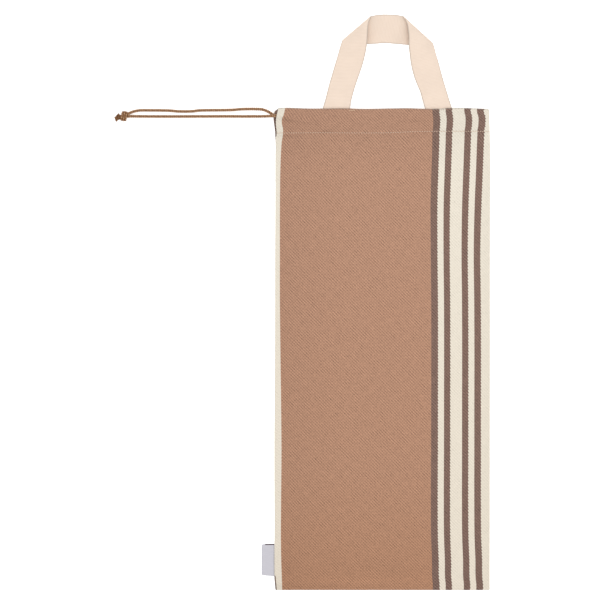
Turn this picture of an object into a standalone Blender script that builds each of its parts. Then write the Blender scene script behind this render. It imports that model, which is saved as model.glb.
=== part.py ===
"""A cloth bread bag with a drawstring and a webbing handle, lying flat on its back.

The bag is one striped cloth, folded at the right, sewn at the left and the bottom, with a hem at the
mouth that holds the drawstring. Lengths are metres. The drawing frame of the functions below has x = 0
on the left seam and y = 0 on the bottom seam. stand_on_origin then moves every piece so that the bag,
handle and label have the centre of their box's base at the world origin.
"""

import math

import bmesh
import bpy
from mathutils import Matrix, Vector

# Bag
BAG_WIDTH = 0.280
BAG_HEIGHT = 0.628
CLOTH = 0.001
SEAM_WALL = 0.0016  # cloth and turned-in allowance, measured in from the seam
CROWN_HEIGHT = 0.0135  # outer face of the front over the floor, in the middle of the bag
MOUTH_HEIGHT = 0.0148  # the same, at the hem
CROWN_SIDE = 0.060  # how far in from a side the front takes to reach its full height
CROWN_BOTTOM = 0.075

# Hem with the drawstring tunnel
HEM_DEPTH = 0.033
HEM_GAP = 0.0003  # between the two layers of the hem, away from the cord
TUNNEL_HEIGHT = 0.0041  # between the two layers, over the cord
TUNNEL_SPREAD = 0.0041
TUNNEL_STARTS = 0.0312  # depth at which the two layers part, just above the stitching
STITCH_DIP = 0.0003
MOUTH_FADE = 0.058  # the mouth height falls to the crown height over this much below the hem
SLIT_DEPTH = 0.038  # the left seam stops here
HEM_LINE_REACH = 0.012  # how far from the stitching the cloth follows its rise
FRONT_CORD_DEPTH = 0.0105
BACK_CORD_DEPTH = 0.0090
BACK_LOWER = 0.0006  # the back's top edge stays this much under the front's
HEM_STACK = 2.0 * CLOTH + HEM_GAP
MOUTH_TURNS = (0, 45, 90, 135, 180)

# Drawstring
CORD_DIAMETER = 0.003
CORD_TUCK = 0.002  # the casing stretch ends this far inside the hem
STRAND_STEP = 0.0075
FACE_GAP = 0.00038
FLOOR_CLEAR = 0.00003  # under the strands, so that their facets stay over the floor

# Handle
WEBBING_WIDTH = 0.035
WEBBING = 0.0015
LAYER_GAP = 0.0004
RUN_HEIGHT = WEBBING / 2.0
LEG_HEIGHT = RUN_HEIGHT + WEBBING + LAYER_GAP
HEM_CLEAR = 0.0005  # between a leg and the hem in front of it
ENDS_DEPTH = 0.030  # how far the handle's ends reach down inside the hem
LEG_LEVEL = 0.004  # above the mouth, before the leg starts to fall
LEG_FALL = 0.070  # and how far up it lies on the cross run's level
FOLD_STARTS = {"left": 0.0857, "right": 0.0820}  # rise of each slanting fold at the leg's outer edge
FOLD_ENDS = 0.1180  # and at its inner edge
TURN_STARTS = 0.3  # share of a leg's length where its lines across start to turn towards the fold
SLIDE = 1.15  # how far the webbing slides along a slanting fold, in lengths of its bend
LEG_STEPS = 13
CREASE_STEPS = 6
UP = Vector((0.0, 0.0, 1.0))

# Label
LABEL_REACH = 0.0161
LABEL_FOOT = 0.0190
LABEL_HEIGHT = 0.0412
LABEL_SHEET = 0.001

# Outline at a depth below the top edge: how far each edge lies right of the bag's nominal sides, and how
# high the front's outer face stands at its two edges.
OUTLINE_COLUMNS = ("depth", "front_left", "back_left", "right", "left_height", "right_height")
OUTLINE = (
    (0.000, 0.0044, 0.0044, -0.0012, 0.0092, 0.0112),
    (0.004, 0.0036, -0.0008, -0.0006, 0.0092, 0.0112),
    (0.009, 0.0026, -0.0019, -0.0004, 0.0092, 0.0112),
    (0.015, 0.0014, -0.0017, -0.0003, 0.0090, 0.0112),
    (0.021, 0.0012, -0.0010, -0.0003, 0.0082, 0.0112),
    (0.026, 0.0016, -0.0004, -0.0003, 0.0072, 0.0112),
    (0.033, 0.0022, 0.0002, -0.0002, 0.0056, 0.0110),
    (0.038, 0.0014, 0.0003, 0.0000, 0.0044, 0.0105),
    (0.054, 0.0009, 0.0009, 0.0000, 0.0034, 0.0085),
    (0.120, 0.0006, 0.0006, 0.0000, 0.0030, 0.0054),
    (0.185, 0.0002, 0.0002, 0.0000, 0.0030, 0.0044),
    (0.300, 0.0000, 0.0000, 0.0000, 0.0030, 0.0044),
    (0.450, -0.0008, -0.0008, -0.0001, 0.0030, 0.0044),
    (0.560, -0.0007, -0.0007, 0.0000, 0.0030, 0.0044),
    (0.600, -0.0004, -0.0006, -0.0001, 0.0030, 0.0044),
    (0.612, 0.0000, -0.0003, -0.0001, 0.0030, 0.0044),
    (0.620, 0.0007, 0.0002, -0.0001, 0.0030, 0.0044),
    (0.628, 0.0014, 0.0005, -0.0002, 0.0030, 0.0044),
)

# How much the top edge stands above its nominal line, along the bag from its left side.
TOP_EDGE_COLUMNS = ("along", "rise")
TOP_EDGE = (
    (0.000, 0.0000),
    (0.013, 0.0000),
    (0.045, -0.0012),
    (0.064, -0.0010),
    (0.094, -0.0010),
    (0.110, -0.0016),
    (0.150, -0.0010),
    (0.175, -0.0006),
    (0.190, -0.0012),
    (0.210, -0.0017),
    (0.228, -0.0005),
    (0.264, -0.0011),
    (0.280, -0.0017),
)

# The same for the hem's stitching. The cloth near it is drawn up with it.
HEM_LINE_COLUMNS = ("along", "rise")
HEM_LINE = (
    (0.000, 0.0003),
    (0.015, 0.0001),
    (0.060, 0.0001),
    (0.100, -0.0001),
    (0.150, 0.0002),
    (0.172, 0.0012),
    (0.190, 0.0017),
    (0.215, 0.0020),
    (0.240, 0.0021),
    (0.280, 0.0021),
)

# Inner edges of the handle's legs by rise over the mouth: their places from the left seam, and how far they
# stand off the level that the legs lie on.
INNER_COLUMNS = ("rise", "left", "right", "lift")
INNER_EDGES = (
    (-0.0300, 0.0898, 0.2017, 0.0000),
    (0.0016, 0.0979, 0.1943, 0.0000),
    (0.0107, 0.0996, 0.1915, 0.0000),
    (0.0211, 0.1024, 0.1887, 0.0000),
    (0.0315, 0.1056, 0.1844, 0.0000),
    (0.0420, 0.1092, 0.1807, 0.0007),
    (0.0524, 0.1128, 0.1780, 0.0017),
    (0.0628, 0.1158, 0.1762, 0.0030),
    (0.0732, 0.1181, 0.1749, 0.0047),
    (0.0837, 0.1196, 0.1740, 0.0060),
    (0.0967, 0.1206, 0.1736, 0.0065),
    (0.1045, 0.1210, 0.1728, 0.0045),
    (0.1097, 0.1217, 0.1717, 0.0031),
    (0.1149, 0.1232, 0.1696, 0.0012),
    (0.1180, 0.1247, 0.1669, 0.0000),
)

# How wide each leg is along a level line, in widths of the webbing.
LEVEL_COLUMNS = ("rise", "left", "right")
LEVEL_WIDTHS = (
    (-0.0300, 1.023, 1.043),
    (0.0016, 1.006, 0.997),
    (0.0107, 0.974, 0.997),
    (0.0211, 0.983, 0.989),
    (0.0315, 1.000, 1.026),
    (0.0420, 1.014, 1.049),
    (0.0524, 1.031, 1.051),
    (0.0628, 1.031, 1.023),
    (0.0732, 1.006, 0.971),
    (0.0857, 0.957, 0.890),
)

# Edges of the handle's cross run, off a straight line from fold to fold.
RUN_COLUMNS = ("share", "lower", "upper")
RUN = (
    (0.10, -0.0017, 0.0010),
    (0.28, -0.0034, 0.0016),
    (0.38, -0.0025, 0.0018),
    (0.47, -0.0015, 0.0018),
    (0.57, -0.0020, 0.0017),
    (0.66, -0.0025, 0.0016),
    (0.80, -0.0030, 0.0014),
    (0.95, -0.0008, 0.0004),
)

# Heights of the body's rows over the bottom seam. The last one is the end of the slit.
BODY_HEIGHTS = (0.0, 0.004, 0.012, 0.026, 0.046, 0.075, 0.120, 0.180, 0.250, 0.330, 0.410, 0.480, 0.530,
                0.562, 0.580, BAG_HEIGHT - SLIT_DEPTH)
HEM_OFFSETS = (0.0140, 0.0070, 0.0040, 0.0024, 0.0012, 0.0, -0.0012, -0.0024, -0.0040, -0.0068)
ACROSS = (0.0, 0.015, 0.045, 0.10, 0.17, 0.25, 0.35, 0.48, 0.61, 0.72, 0.82, 0.90, 0.96, 1.0)
FOLD_STEPS = 12

# The free strands, from the hem to the knot: how far left of the bag's side, depth below its top edge, and
# height of the cord's middle.
ROUTE_COLUMNS = ("left", "depth", "height")
FRONT_STRAND = (
    (0.0030, 0.0107, 0.00910),
    (0.0100, 0.0109, 0.00770),
    (0.0190, 0.0110, 0.00540),
    (0.0300, 0.0109, 0.00300),
    (0.0430, 0.0109, 0.00165),
    (0.0550, 0.0108, 0.00150),
    (0.0700, 0.0108, 0.00150),
    (0.1000, 0.0109, 0.00150),
    (0.1350, 0.0110, 0.00150),
    (0.1650, 0.0109, 0.00150),
    (0.1800, 0.0108, 0.00155),
    (0.1875, 0.0107, 0.00175),
)
BACK_STRAND = (
    (0.0014, 0.0095, 0.00310),
    (0.0030, 0.0085, 0.00305),
    (0.0060, 0.0063, 0.00280),
    (0.0090, 0.0046, 0.00240),
    (0.0120, 0.0032, 0.00200),
    (0.0150, 0.0022, 0.00170),
    (0.0200, 0.0014, 0.00150),
    (0.0320, 0.0012, 0.00150),
    (0.0450, 0.0015, 0.00150),
    (0.0580, 0.0025, 0.00150),
    (0.0960, 0.0030, 0.00150),
    (0.1080, 0.0042, 0.00150),
    (0.1250, 0.0043, 0.00150),
    (0.1400, 0.0032, 0.00150),
    (0.1720, 0.0029, 0.00150),
    (0.1800, 0.0036, 0.00160),
    (0.1850, 0.0048, 0.00170),
    (0.1872, 0.0056, 0.00180),
)

# The knot's body, cut across at each distance left of the bag's side.
KNOT_COLUMNS = ("left", "depth", "height", "half_width", "half_height")
KNOT = (
    (0.1880, 0.0085, 0.0020, 0.0036, 0.0019),
    (0.1900, 0.0090, 0.0034, 0.0052, 0.0033),
    (0.1925, 0.0100, 0.0042, 0.0066, 0.0041),
    (0.1955, 0.0106, 0.0043, 0.0068, 0.0042),
    (0.1985, 0.0113, 0.0037, 0.0056, 0.0036),
    (0.2008, 0.0119, 0.0028, 0.0038, 0.0027),
)
KNOT_SIDES = 16
TAIL_SIDES = 8
UPPER_TAIL = (
    (0.1985, 0.0112, 0.0027),
    (0.2010, 0.0106, 0.0021),
    (0.2033, 0.0097, 0.0017),
    (0.2058, 0.0083, 0.0016),
)
LOWER_TAIL = (
    (0.1985, 0.0124, 0.0026),
    (0.2013, 0.0132, 0.0020),
    (0.2043, 0.0144, 0.0016),
    (0.2076, 0.0159, 0.0015),
)


def ease(share):
    """0 to 1 with level ends."""
    share = min(max(share, 0.0), 1.0)
    return share * share * (3.0 - 2.0 * share)


def crown(share):
    """0 at an edge to 1 at its full height, steepest at the edge."""
    share = min(max(share, 0.0), 1.0)
    return 1.0 - (1.0 - share) ** 2


def read(table, columns, column, at):
    """The value of a column, between the rows on either side of at, which is measured in the first one."""
    place = columns.index(column)
    if at <= table[0][0]:
        return table[0][place]
    for low, high in zip(table, table[1:]):
        if at <= high[0]:
            share = (at - low[0]) / (high[0] - low[0])
            return low[place] + share * (high[place] - low[place])
    return table[-1][place]


def outline(column, depth):
    return read(OUTLINE, OUTLINE_COLUMNS, column, depth)


def tunnel(depth, backness):
    """Gap between the hem's two layers."""
    cord_depth = FRONT_CORD_DEPTH + backness * (BACK_CORD_DEPTH - FRONT_CORD_DEPTH)
    reach = (depth - cord_depth) / TUNNEL_SPREAD
    return HEM_GAP + (TUNNEL_HEIGHT - HEM_GAP) * math.exp(-reach * reach)


def ridge(depth, backness):
    return tunnel(depth, backness) - HEM_GAP if depth <= TUNNEL_STARTS else 0.0


def front_height(across, depth):
    """Height of the front's outer face, across from 0 at the left edge to 1 where the right fold starts."""
    low = outline("left_height", depth)
    high = outline("right_height", depth)
    edge = low + across * (high - low)
    middle = CROWN_HEIGHT + (MOUTH_HEIGHT - CROWN_HEIGHT) * (1.0 - ease((depth - HEM_DEPTH) / MOUTH_FADE))
    side = CROWN_SIDE / BAG_WIDTH
    lift = crown(across / side) * crown((1.0 - across) / side) * crown((BAG_HEIGHT - depth) / CROWN_BOTTOM)
    return edge + (middle - edge) * lift


class Station:
    """One line down the cloth. The stations run along the front, round the right fold and back."""

    def __init__(self, across, angle):
        self.across = across  # 0 at the left side, 1 at the fold
        self.angle = angle  # of the outward direction, in degrees: 90 on the front and -90 on the back
        self.backness = (90.0 - angle) / 180.0

    def point(self, depth, outward, inset=0.0):
        """A point at a depth below the top edge, outward from the cloth's smooth outer face."""
        radius = front_height(1.0, depth) / 2.0
        apex = BAG_WIDTH + outline("right", depth)
        centre = apex - radius - 0.5 * ridge(depth, 0.5)
        if abs(self.angle) == 90.0:
            left = outline("front_left" if self.angle > 0 else "back_left", depth) + inset
            x = left + self.across * (centre - left)
            z = front_height(self.across, depth) + outward if self.angle > 0 else -outward
        else:
            turn = math.radians(self.angle)
            x = centre + (radius + outward) * math.cos(turn)
            z = max(radius + (radius + outward) * math.sin(turn), 0.0)
        top_rise = read(TOP_EDGE, TOP_EDGE_COLUMNS, "rise", x) - BACK_LOWER * self.backness
        hem_rise = read(HEM_LINE, HEM_LINE_COLUMNS, "rise", x)
        y = BAG_HEIGHT - depth + top_rise * (1.0 - ease(depth / HEM_DEPTH))
        return Vector((x, y + hem_rise * math.exp(-((depth - HEM_DEPTH) / HEM_LINE_REACH) ** 2), z))

    def cord_depth(self):
        return FRONT_CORD_DEPTH + self.backness * (BACK_CORD_DEPTH - FRONT_CORD_DEPTH)

    def hem_depths(self):
        return [TUNNEL_STARTS] + [self.cord_depth() + offset for offset in HEM_OFFSETS]

    def hem_faces(self, depth):
        """Outward places of the faces of the hem's two layers, from the mouth's side to the outside."""
        gap = tunnel(depth, self.backness)
        lining = -self.backness * (gap - HEM_GAP) - HEM_STACK
        return lining, lining + CLOTH, lining + CLOTH + gap, lining + 2.0 * CLOTH + gap

    def stitched(self, layers):
        """A point on the hem's stitching, this many layers of cloth in from the outside."""
        return self.point(HEM_DEPTH, -STITCH_DIP * (1.0 - self.backness) - layers * CLOTH)

    def rows(self):
        """The points of each run of the cloth's surface down this line, with matching places in each pair."""
        heights = [max(height, SEAM_WALL) for height in BODY_HEIGHTS]
        half = HEM_STACK / 2.0
        turns = [math.radians(degrees) for degrees in MOUTH_TURNS]
        faces = [[self.point(depth, self.hem_faces(depth)[face]) for depth in self.hem_depths()]
                 for face in range(4)]
        return {
            "body_out": [self.point(BAG_HEIGHT - height, 0.0) for height in BODY_HEIGHTS],
            "body_in": [self.point(BAG_HEIGHT - height, -CLOTH, SEAM_WALL) for height in heights],
            "stitching": [self.stitched(layers) for layers in range(3)],
            "hem_out": faces[3],
            "tunnel_over": faces[2],
            "tunnel_under": faces[1],
            "hem_in": faces[0],
            "mouth": [self.point(half - half * math.sin(t), half * math.cos(t) - half) for t in turns],
        }

    def cord_point(self):
        under, over = self.hem_faces(self.cord_depth())[1:3]
        return self.point(self.cord_depth(), (under + over) / 2.0)


def stations():
    front = [Station(across, 90.0) for across in ACROSS]
    fold = [Station(1.0, 90.0 - 180.0 * step / FOLD_STEPS) for step in range(1, FOLD_STEPS)]
    back = [Station(across, -90.0) for across in reversed(ACROSS)]
    return front + fold + back


def new_object(name, data, colour, roughness):
    material = bpy.data.materials.new(name)
    material.use_nodes = True
    shader = material.node_tree.nodes["Principled BSDF"]
    shader.inputs["Base Color"].default_value = (*colour, 1.0)
    shader.inputs["Roughness"].default_value = roughness
    shader.inputs["Metallic"].default_value = 0.0
    data.materials.append(material)
    thing = bpy.data.objects.new(name, data)
    bpy.context.scene.collection.objects.link(thing)
    return thing


def mesh_from(bm, name):
    bmesh.ops.recalc_face_normals(bm, faces=bm.faces)
    mesh = bpy.data.meshes.new(name)
    bm.to_mesh(mesh)
    bm.free()
    mesh.shade_smooth()
    mesh.set_sharp_from_angle(angle=math.radians(40))
    return mesh


def add_strip(bm, first, second):
    """Faces between two rows of vertices."""
    for (a, b), (c, d) in zip(zip(first, first[1:]), zip(second, second[1:])):
        bm.faces.new((a, b, d, c))


def cap_hem(bm, line):
    """Closes one end of the hem around the mouth of its tunnel, and the bare cloth down to the slit's end."""
    add_strip(bm, line["hem_out"], line["tunnel_over"])
    add_strip(bm, line["tunnel_under"], line["hem_in"])
    over, under = line["tunnel_over"][-1], line["tunnel_under"][-1]
    around = [line["hem_out"][-1]] + line["mouth"] + [line["hem_in"][-1]]
    middle = len(around) // 2 - 1
    for place, (a, b) in enumerate(zip(around, around[1:])):
        if place == middle:
            bm.faces.new((over, a, b, under))
        else:
            bm.faces.new((over if place < middle else under, a, b))
    outside, between, lining = line["stitching"]
    bm.faces.new((outside, line["hem_out"][0], line["tunnel_over"][0]))
    bm.faces.new((outside, line["tunnel_over"][0], line["tunnel_under"][0], between))
    bm.faces.new((between, line["tunnel_under"][0], line["hem_in"][0], lining))
    bm.faces.new((line["body_out"][-1], outside, between, line["body_in"][-1]))


def make_bag():
    bm = bmesh.new()
    lines = []
    for station in stations():
        lines.append({name: [bm.verts.new(point) for point in row] for name, row in station.rows().items()})
    for line in lines:
        outside, between, lining = line["stitching"]
        line["skin"] = (line["body_out"] + [outside] + line["hem_out"] + line["mouth"]
                        + line["hem_in"][::-1] + [lining, between] + line["body_in"][::-1])
        line["tunnel"] = line["tunnel_under"] + line["tunnel_over"][::-1] + line["tunnel_under"][:1]
    for line, after in zip(lines, lines[1:]):
        add_strip(bm, line["skin"], after["skin"])
        add_strip(bm, line["tunnel"], after["tunnel"])
    front_end, back_end = lines[0], lines[-1]
    for face in ("body_out", "body_in"):
        add_strip(bm, front_end[face], back_end[face])
        middle = len(lines) // 2
        foot = [line[face][0] for line in lines]
        add_strip(bm, foot[:middle], foot[:middle:-1])
        bm.faces.new((foot[middle - 1], foot[middle], foot[middle + 1]))
    bm.faces.new((front_end["body_out"][-1], front_end["body_in"][-1],
                  back_end["body_in"][-1], back_end["body_out"][-1]))
    cap_hem(bm, front_end)
    cap_hem(bm, back_end)
    return new_object("bag_cloth", mesh_from(bm, "bag_cloth"), (0.46, 0.26, 0.17), 0.9)


def hem_lining_height(x, depth):
    """Height of the mouth's side of the front hem."""
    left = outline("front_left", depth)
    centre = BAG_WIDTH + outline("right", depth) - front_height(1.0, depth) / 2.0
    return front_height((x - left) / (centre - left), depth) - HEM_STACK


class HandleSide:
    """One leg of the handle, "left" or "right", and its slanting fold."""

    def __init__(self, side):
        self.side = side
        self.inward = 1.0 if side == "left" else -1.0
        self.bend = (LEG_HEIGHT - RUN_HEIGHT) / 2.0

    def leg_point(self, rise, edge):
        """Middle of the webbing's thickness on the inner or the outer edge."""
        x = read(INNER_EDGES, INNER_COLUMNS, self.side, rise)
        lift = read(INNER_EDGES, INNER_COLUMNS, "lift", rise)
        if edge == "outer":
            x -= self.inward * WEBBING_WIDTH * read(LEVEL_WIDTHS, LEVEL_COLUMNS, self.side, rise)
            lift = 0.0
        depth = min(max(-rise, 0.0), HEM_DEPTH)
        inside = hem_lining_height(x, depth) - HEM_CLEAR - WEBBING / 2.0
        fall = ease((rise - LEG_LEVEL) / (LEG_FALL - LEG_LEVEL))
        return Vector((x, BAG_HEIGHT + rise, inside + (LEG_HEIGHT - inside) * fall + lift))

    def lines(self):
        """Lines across the webbing, as inner point, outer point and normal, from the leg's end to the run."""
        corner = FOLD_STARTS[self.side]
        found = []
        for step in range(LEG_STEPS + 1):
            share = step / LEG_STEPS
            outer_rise = share * (corner + ENDS_DEPTH) - ENDS_DEPTH
            turned = ease((share - TURN_STARTS) / (1.0 - TURN_STARTS))
            inner_rise = outer_rise + turned * (FOLD_ENDS - corner)
            found.append((self.leg_point(inner_rise, "inner"), self.leg_point(outer_rise, "outer"), UP))
        inner, outer = found[-1][:2]
        crease = (inner - outer).normalized()
        outward = Vector((-crease.y, crease.x, 0.0)) * self.inward
        for step in range(1, CREASE_STEPS + 1):
            turn = math.pi * step / CREASE_STEPS
            moved = crease * (SLIDE * self.bend * turn) + outward * (self.bend * math.sin(turn))
            moved.z += self.bend * (math.cos(turn) - 1.0)
            normal = outward * math.sin(turn) + UP * math.cos(turn)
            found.append((inner + moved, outer + moved, normal))
        return found


def run_lines(start, end):
    """Lines across the cross run, between the last line of the left fold and that of the right."""
    found = []
    for row in (dict(zip(RUN_COLUMNS, values)) for values in RUN):
        upper = start[0].lerp(end[0], row["share"]) + Vector((0.0, row["upper"], 0.0))
        lower = start[1].lerp(end[1], row["share"]) + Vector((0.0, row["lower"], 0.0))
        found.append((upper, lower, -UP))
    return found


def make_handle():
    left = HandleSide("left").lines()
    right = HandleSide("right").lines()
    bm = bmesh.new()
    rings = []
    for inner, outer, normal in left + run_lines(left[-1], right[-1]) + right[::-1]:
        half = normal * (WEBBING / 2.0)
        corners = (inner + half, outer + half, outer - half, inner - half)
        rings.append([bm.verts.new(corner) for corner in corners])
    for ring, after in zip(rings, rings[1:]):
        add_strip(bm, ring + ring[:1], after + after[:1])
    bm.faces.new(rings[0])
    bm.faces.new(rings[-1])
    return new_object("handle_webbing", mesh_from(bm, "handle_webbing"), (0.90, 0.78, 0.66), 0.85)


def make_label():
    """A folded ribbon with its fold to the left, its two ends at the seam."""
    ends = (BAG_HEIGHT - LABEL_FOOT, BAG_HEIGHT - LABEL_FOOT - LABEL_HEIGHT)
    right = min(outline(side, depth) for side in ("front_left", "back_left") for depth in ends) - FACE_GAP
    thick = 2.0 * LABEL_SHEET + FACE_GAP
    bend = right - LABEL_REACH + thick / 2.0
    profile = [(right, 0.0)]
    for radius, turns in ((thick / 2.0, range(-90, -271, -30)), (FACE_GAP / 2.0, range(-270, -89, 60))):
        for degrees in turns:
            turn = math.radians(degrees)
            profile.append((bend + radius * math.cos(turn), thick / 2.0 + radius * math.sin(turn)))
        profile.append((right, profile[-1][1]))
    del profile[-1]
    profile.append((right, LABEL_SHEET))
    bm = bmesh.new()
    face = bm.faces.new([bm.verts.new((x, LABEL_FOOT, z)) for x, z in profile])
    made = bmesh.ops.extrude_face_region(bm, geom=[face])["geom"]
    raised = [item for item in made if isinstance(item, bmesh.types.BMVert)]
    bmesh.ops.translate(bm, verts=raised, vec=(0.0, LABEL_HEIGHT, 0.0))
    return new_object("side_label", mesh_from(bm, "side_label"), (0.62, 0.60, 0.64), 0.5)


def smooth_route(points, step):
    """Points about a step apart on a Catmull-Rom curve through the route's points."""
    ends = [points[0] * 2.0 - points[1]] + points + [points[-1] * 2.0 - points[-2]]
    found = []
    for before, start, end, after in zip(ends, ends[1:], ends[2:], ends[3:]):
        count = max(1, round((end - start).length / step))
        for place in range(count):
            t = place / count
            bend = (start - end) * 3.0 - before + after
            swing = before * 2.0 - start * 5.0 + end * 4.0 - after
            found.append(start + ((end - before) * t + swing * t ** 2 + bend * t ** 3) * 0.5)
    return found + [points[-1]]


def make_cord(name, points):
    curve = bpy.data.curves.new(name, "CURVE")
    curve.dimensions = "3D"
    curve.bevel_depth = CORD_DIAMETER / 2.0
    curve.bevel_resolution = 2
    curve.use_fill_caps = True
    spline = curve.splines.new("POLY")
    spline.points.add(len(points) - 1)
    for slot, point in zip(spline.points, points):
        slot.co = (*point, 1.0)
    spline.use_smooth = True
    return new_object(name, curve, (0.25, 0.13, 0.07), 0.7)


def hem_cord_points():
    """The middle of the cord in the hem, from inside the front's left end to inside the back's."""
    line = [station.cord_point() for station in stations()]
    for end, after in ((0, 1), (-1, -2)):
        length = (line[after] - line[end]).length
        line[end] = line[end].lerp(line[after], CORD_TUCK / length)
    return line


def strand_points(start, route):
    """From a face gap outside the cord in the hem, along the route to the knot."""
    rows = [dict(zip(ROUTE_COLUMNS, row)) for row in route]
    points = [Vector((-row["left"], BAG_HEIGHT - row["depth"], row["height"])) for row in rows]
    line = smooth_route([start - Vector((FACE_GAP, 0.0, 0.0))] + points, STRAND_STEP)
    for point in line:
        point.z = max(point.z, CORD_DIAMETER / 2.0 + FLOOR_CLEAR)
    return line


def make_tube(name, points, radius):
    """A closed mesh tube, to be joined to the knot."""
    bm = bmesh.new()
    rings = []
    for place, point in enumerate(points):
        along = points[min(place + 1, len(points) - 1)] - points[max(place - 1, 0)]
        side = Vector((-along.y, along.x, 0.0)).normalized()
        top = along.cross(side).normalized()
        turns = [math.tau * step / TAIL_SIDES for step in range(TAIL_SIDES)]
        rings.append([bm.verts.new(point + (side * math.cos(turn) + top * math.sin(turn)) * radius)
                      for turn in turns])
    for ring, after in zip(rings, rings[1:]):
        add_strip(bm, ring + ring[:1], after + after[:1])
    bm.faces.new(rings[0])
    bm.faces.new(rings[-1])
    tube = new_object(name, mesh_from(bm, name), (0.25, 0.13, 0.07), 0.7)
    tube.hide_render = True
    tube.display_type = "WIRE"
    return tube


def make_knot():
    bm = bmesh.new()
    rings = []
    turns = [math.tau * step / KNOT_SIDES for step in range(KNOT_SIDES)]
    for row in (dict(zip(KNOT_COLUMNS, values)) for values in KNOT):
        ring = []
        for turn in turns:
            y = BAG_HEIGHT - row["depth"] + row["half_width"] * math.cos(turn)
            z = row["height"] + row["half_height"] * math.sin(turn)
            ring.append(bm.verts.new((-row["left"], y, z)))
        rings.append(ring)
    for ring, after in zip(rings, rings[1:]):
        add_strip(bm, ring + ring[:1], after + after[:1])
    bm.faces.new(rings[0])
    bm.faces.new(rings[-1])
    knot = new_object("cord_knot", mesh_from(bm, "cord_knot"), (0.25, 0.13, 0.07), 0.7)
    tails = []
    for name, route in (("upper_tail", UPPER_TAIL), ("lower_tail", LOWER_TAIL)):
        points = [Vector((-left, BAG_HEIGHT - depth, height)) for left, depth, height in route]
        tails.append(make_tube(name, smooth_route(points, CORD_DIAMETER), CORD_DIAMETER / 2.0))
        join = knot.modifiers.new(name, "BOOLEAN")
        join.operation = "UNION"
        join.object = tails[-1]
    return [knot] + tails


def stand_on_origin(placed, others):
    """Moves everything so that the placed pieces have the middle of their box's base at the origin."""
    corners = [vertex.co for thing in placed for vertex in thing.data.vertices]
    low = Vector([min(corner[axis] for corner in corners) for axis in range(3)])
    high = Vector([max(corner[axis] for corner in corners) for axis in range(3)])
    shift = Vector((-(low.x + high.x) / 2.0, -(low.y + high.y) / 2.0, -low.z))
    for thing in placed + others:
        thing.data.transform(Matrix.Translation(shift))


def main():
    for old in list(bpy.data.objects):
        bpy.data.objects.remove(old, do_unlink=True)
    cord_line = hem_cord_points()
    placed = [make_bag(), make_handle(), make_label()]
    cords = [
        make_cord("hem_cord", cord_line),
        make_cord("front_strand", strand_points(cord_line[0], FRONT_STRAND)),
        make_cord("back_strand", strand_points(cord_line[-1], BACK_STRAND)),
    ]
    stand_on_origin(placed, cords + make_knot())


main()
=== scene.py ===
import json
import math
from functools import partial

import bmesh
import bpy
import numpy as np
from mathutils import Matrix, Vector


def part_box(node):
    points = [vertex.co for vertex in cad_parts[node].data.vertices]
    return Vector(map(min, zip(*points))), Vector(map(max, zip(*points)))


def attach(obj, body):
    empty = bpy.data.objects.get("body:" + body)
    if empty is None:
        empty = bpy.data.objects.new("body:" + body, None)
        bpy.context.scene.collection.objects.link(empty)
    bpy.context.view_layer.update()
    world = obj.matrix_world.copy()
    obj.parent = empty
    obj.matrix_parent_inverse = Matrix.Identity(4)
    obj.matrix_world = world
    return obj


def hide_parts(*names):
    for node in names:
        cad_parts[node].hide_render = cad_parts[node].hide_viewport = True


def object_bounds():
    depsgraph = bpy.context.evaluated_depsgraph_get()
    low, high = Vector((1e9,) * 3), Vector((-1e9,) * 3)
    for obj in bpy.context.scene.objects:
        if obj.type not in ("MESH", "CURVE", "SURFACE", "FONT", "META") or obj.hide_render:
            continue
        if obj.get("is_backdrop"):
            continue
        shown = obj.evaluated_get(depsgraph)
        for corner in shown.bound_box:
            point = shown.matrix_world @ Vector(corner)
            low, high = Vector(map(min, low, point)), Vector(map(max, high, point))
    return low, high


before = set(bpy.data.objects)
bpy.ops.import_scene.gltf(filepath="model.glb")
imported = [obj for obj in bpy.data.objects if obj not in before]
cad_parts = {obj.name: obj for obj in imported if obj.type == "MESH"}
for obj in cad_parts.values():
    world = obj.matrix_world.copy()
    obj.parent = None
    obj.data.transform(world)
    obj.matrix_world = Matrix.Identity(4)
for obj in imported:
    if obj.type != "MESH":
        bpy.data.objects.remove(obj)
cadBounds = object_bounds()
print("frame loaded")


# Colours are given as sRGB hex values, and shaders want linear ones
def linearColour(hexCode):
    channels = [int(hexCode[place:place + 2], 16) / 255 for place in (1, 3, 5)]
    linear = [c / 12.92 if c <= 0.04045 else ((c + 0.055) / 1.055) ** 2.4 for c in channels]
    return (*linear, 1.0)


# Adds a node with its settings and links. A kind without "Node" in it is a shader node. Values in a row go
# to its first sockets, such as a Map Range's value, from and to. A name in small letters is a property,
# Base_Color is the socket "Base Color", and _6 is the seventh socket. A node given as a value is linked
# from its first output.
def addNode(tree, kind, *inputs, **values):
    node = tree.nodes.new(kind if "Node" in kind else f"ShaderNode{kind}")
    for name in [name for name in values if name[0].islower()]:
        setattr(node, name, values.pop(name))
    sockets = list(zip(node.inputs, inputs))
    for name, value in values.items():
        sockets.append((node.inputs[int(name[1:]) if name[0] == "_" else name.replace("_", " ")], value))
    for socket, value in sockets:
        if isinstance(value, bpy.types.Node):
            tree.links.new(value.outputs[0], socket)
        elif isinstance(value, bpy.types.NodeSocket):
            tree.links.new(value, socket)
        else:
            socket.default_value = value
    return node


# A new material, and addNode for its tree
def newMaterial(name):
    material = bpy.data.materials.new(name)
    material.use_nodes = True
    material.node_tree.nodes.clear()
    return material, partial(addNode, material.node_tree)


# Ends a material's tree with its bump and its shader
def finishMaterial(add, height, strength, distance, **values):
    bump = add("Bump", Strength=strength, Distance=distance, Height=height)
    shader = add("BsdfPrincipled", Normal=bump, **values)
    add("OutputMaterial", Surface=shader)


def ease(share):
    share = np.clip(share, 0.0, 1.0)
    return share * share * (3.0 - 2.0 * share)


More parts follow.
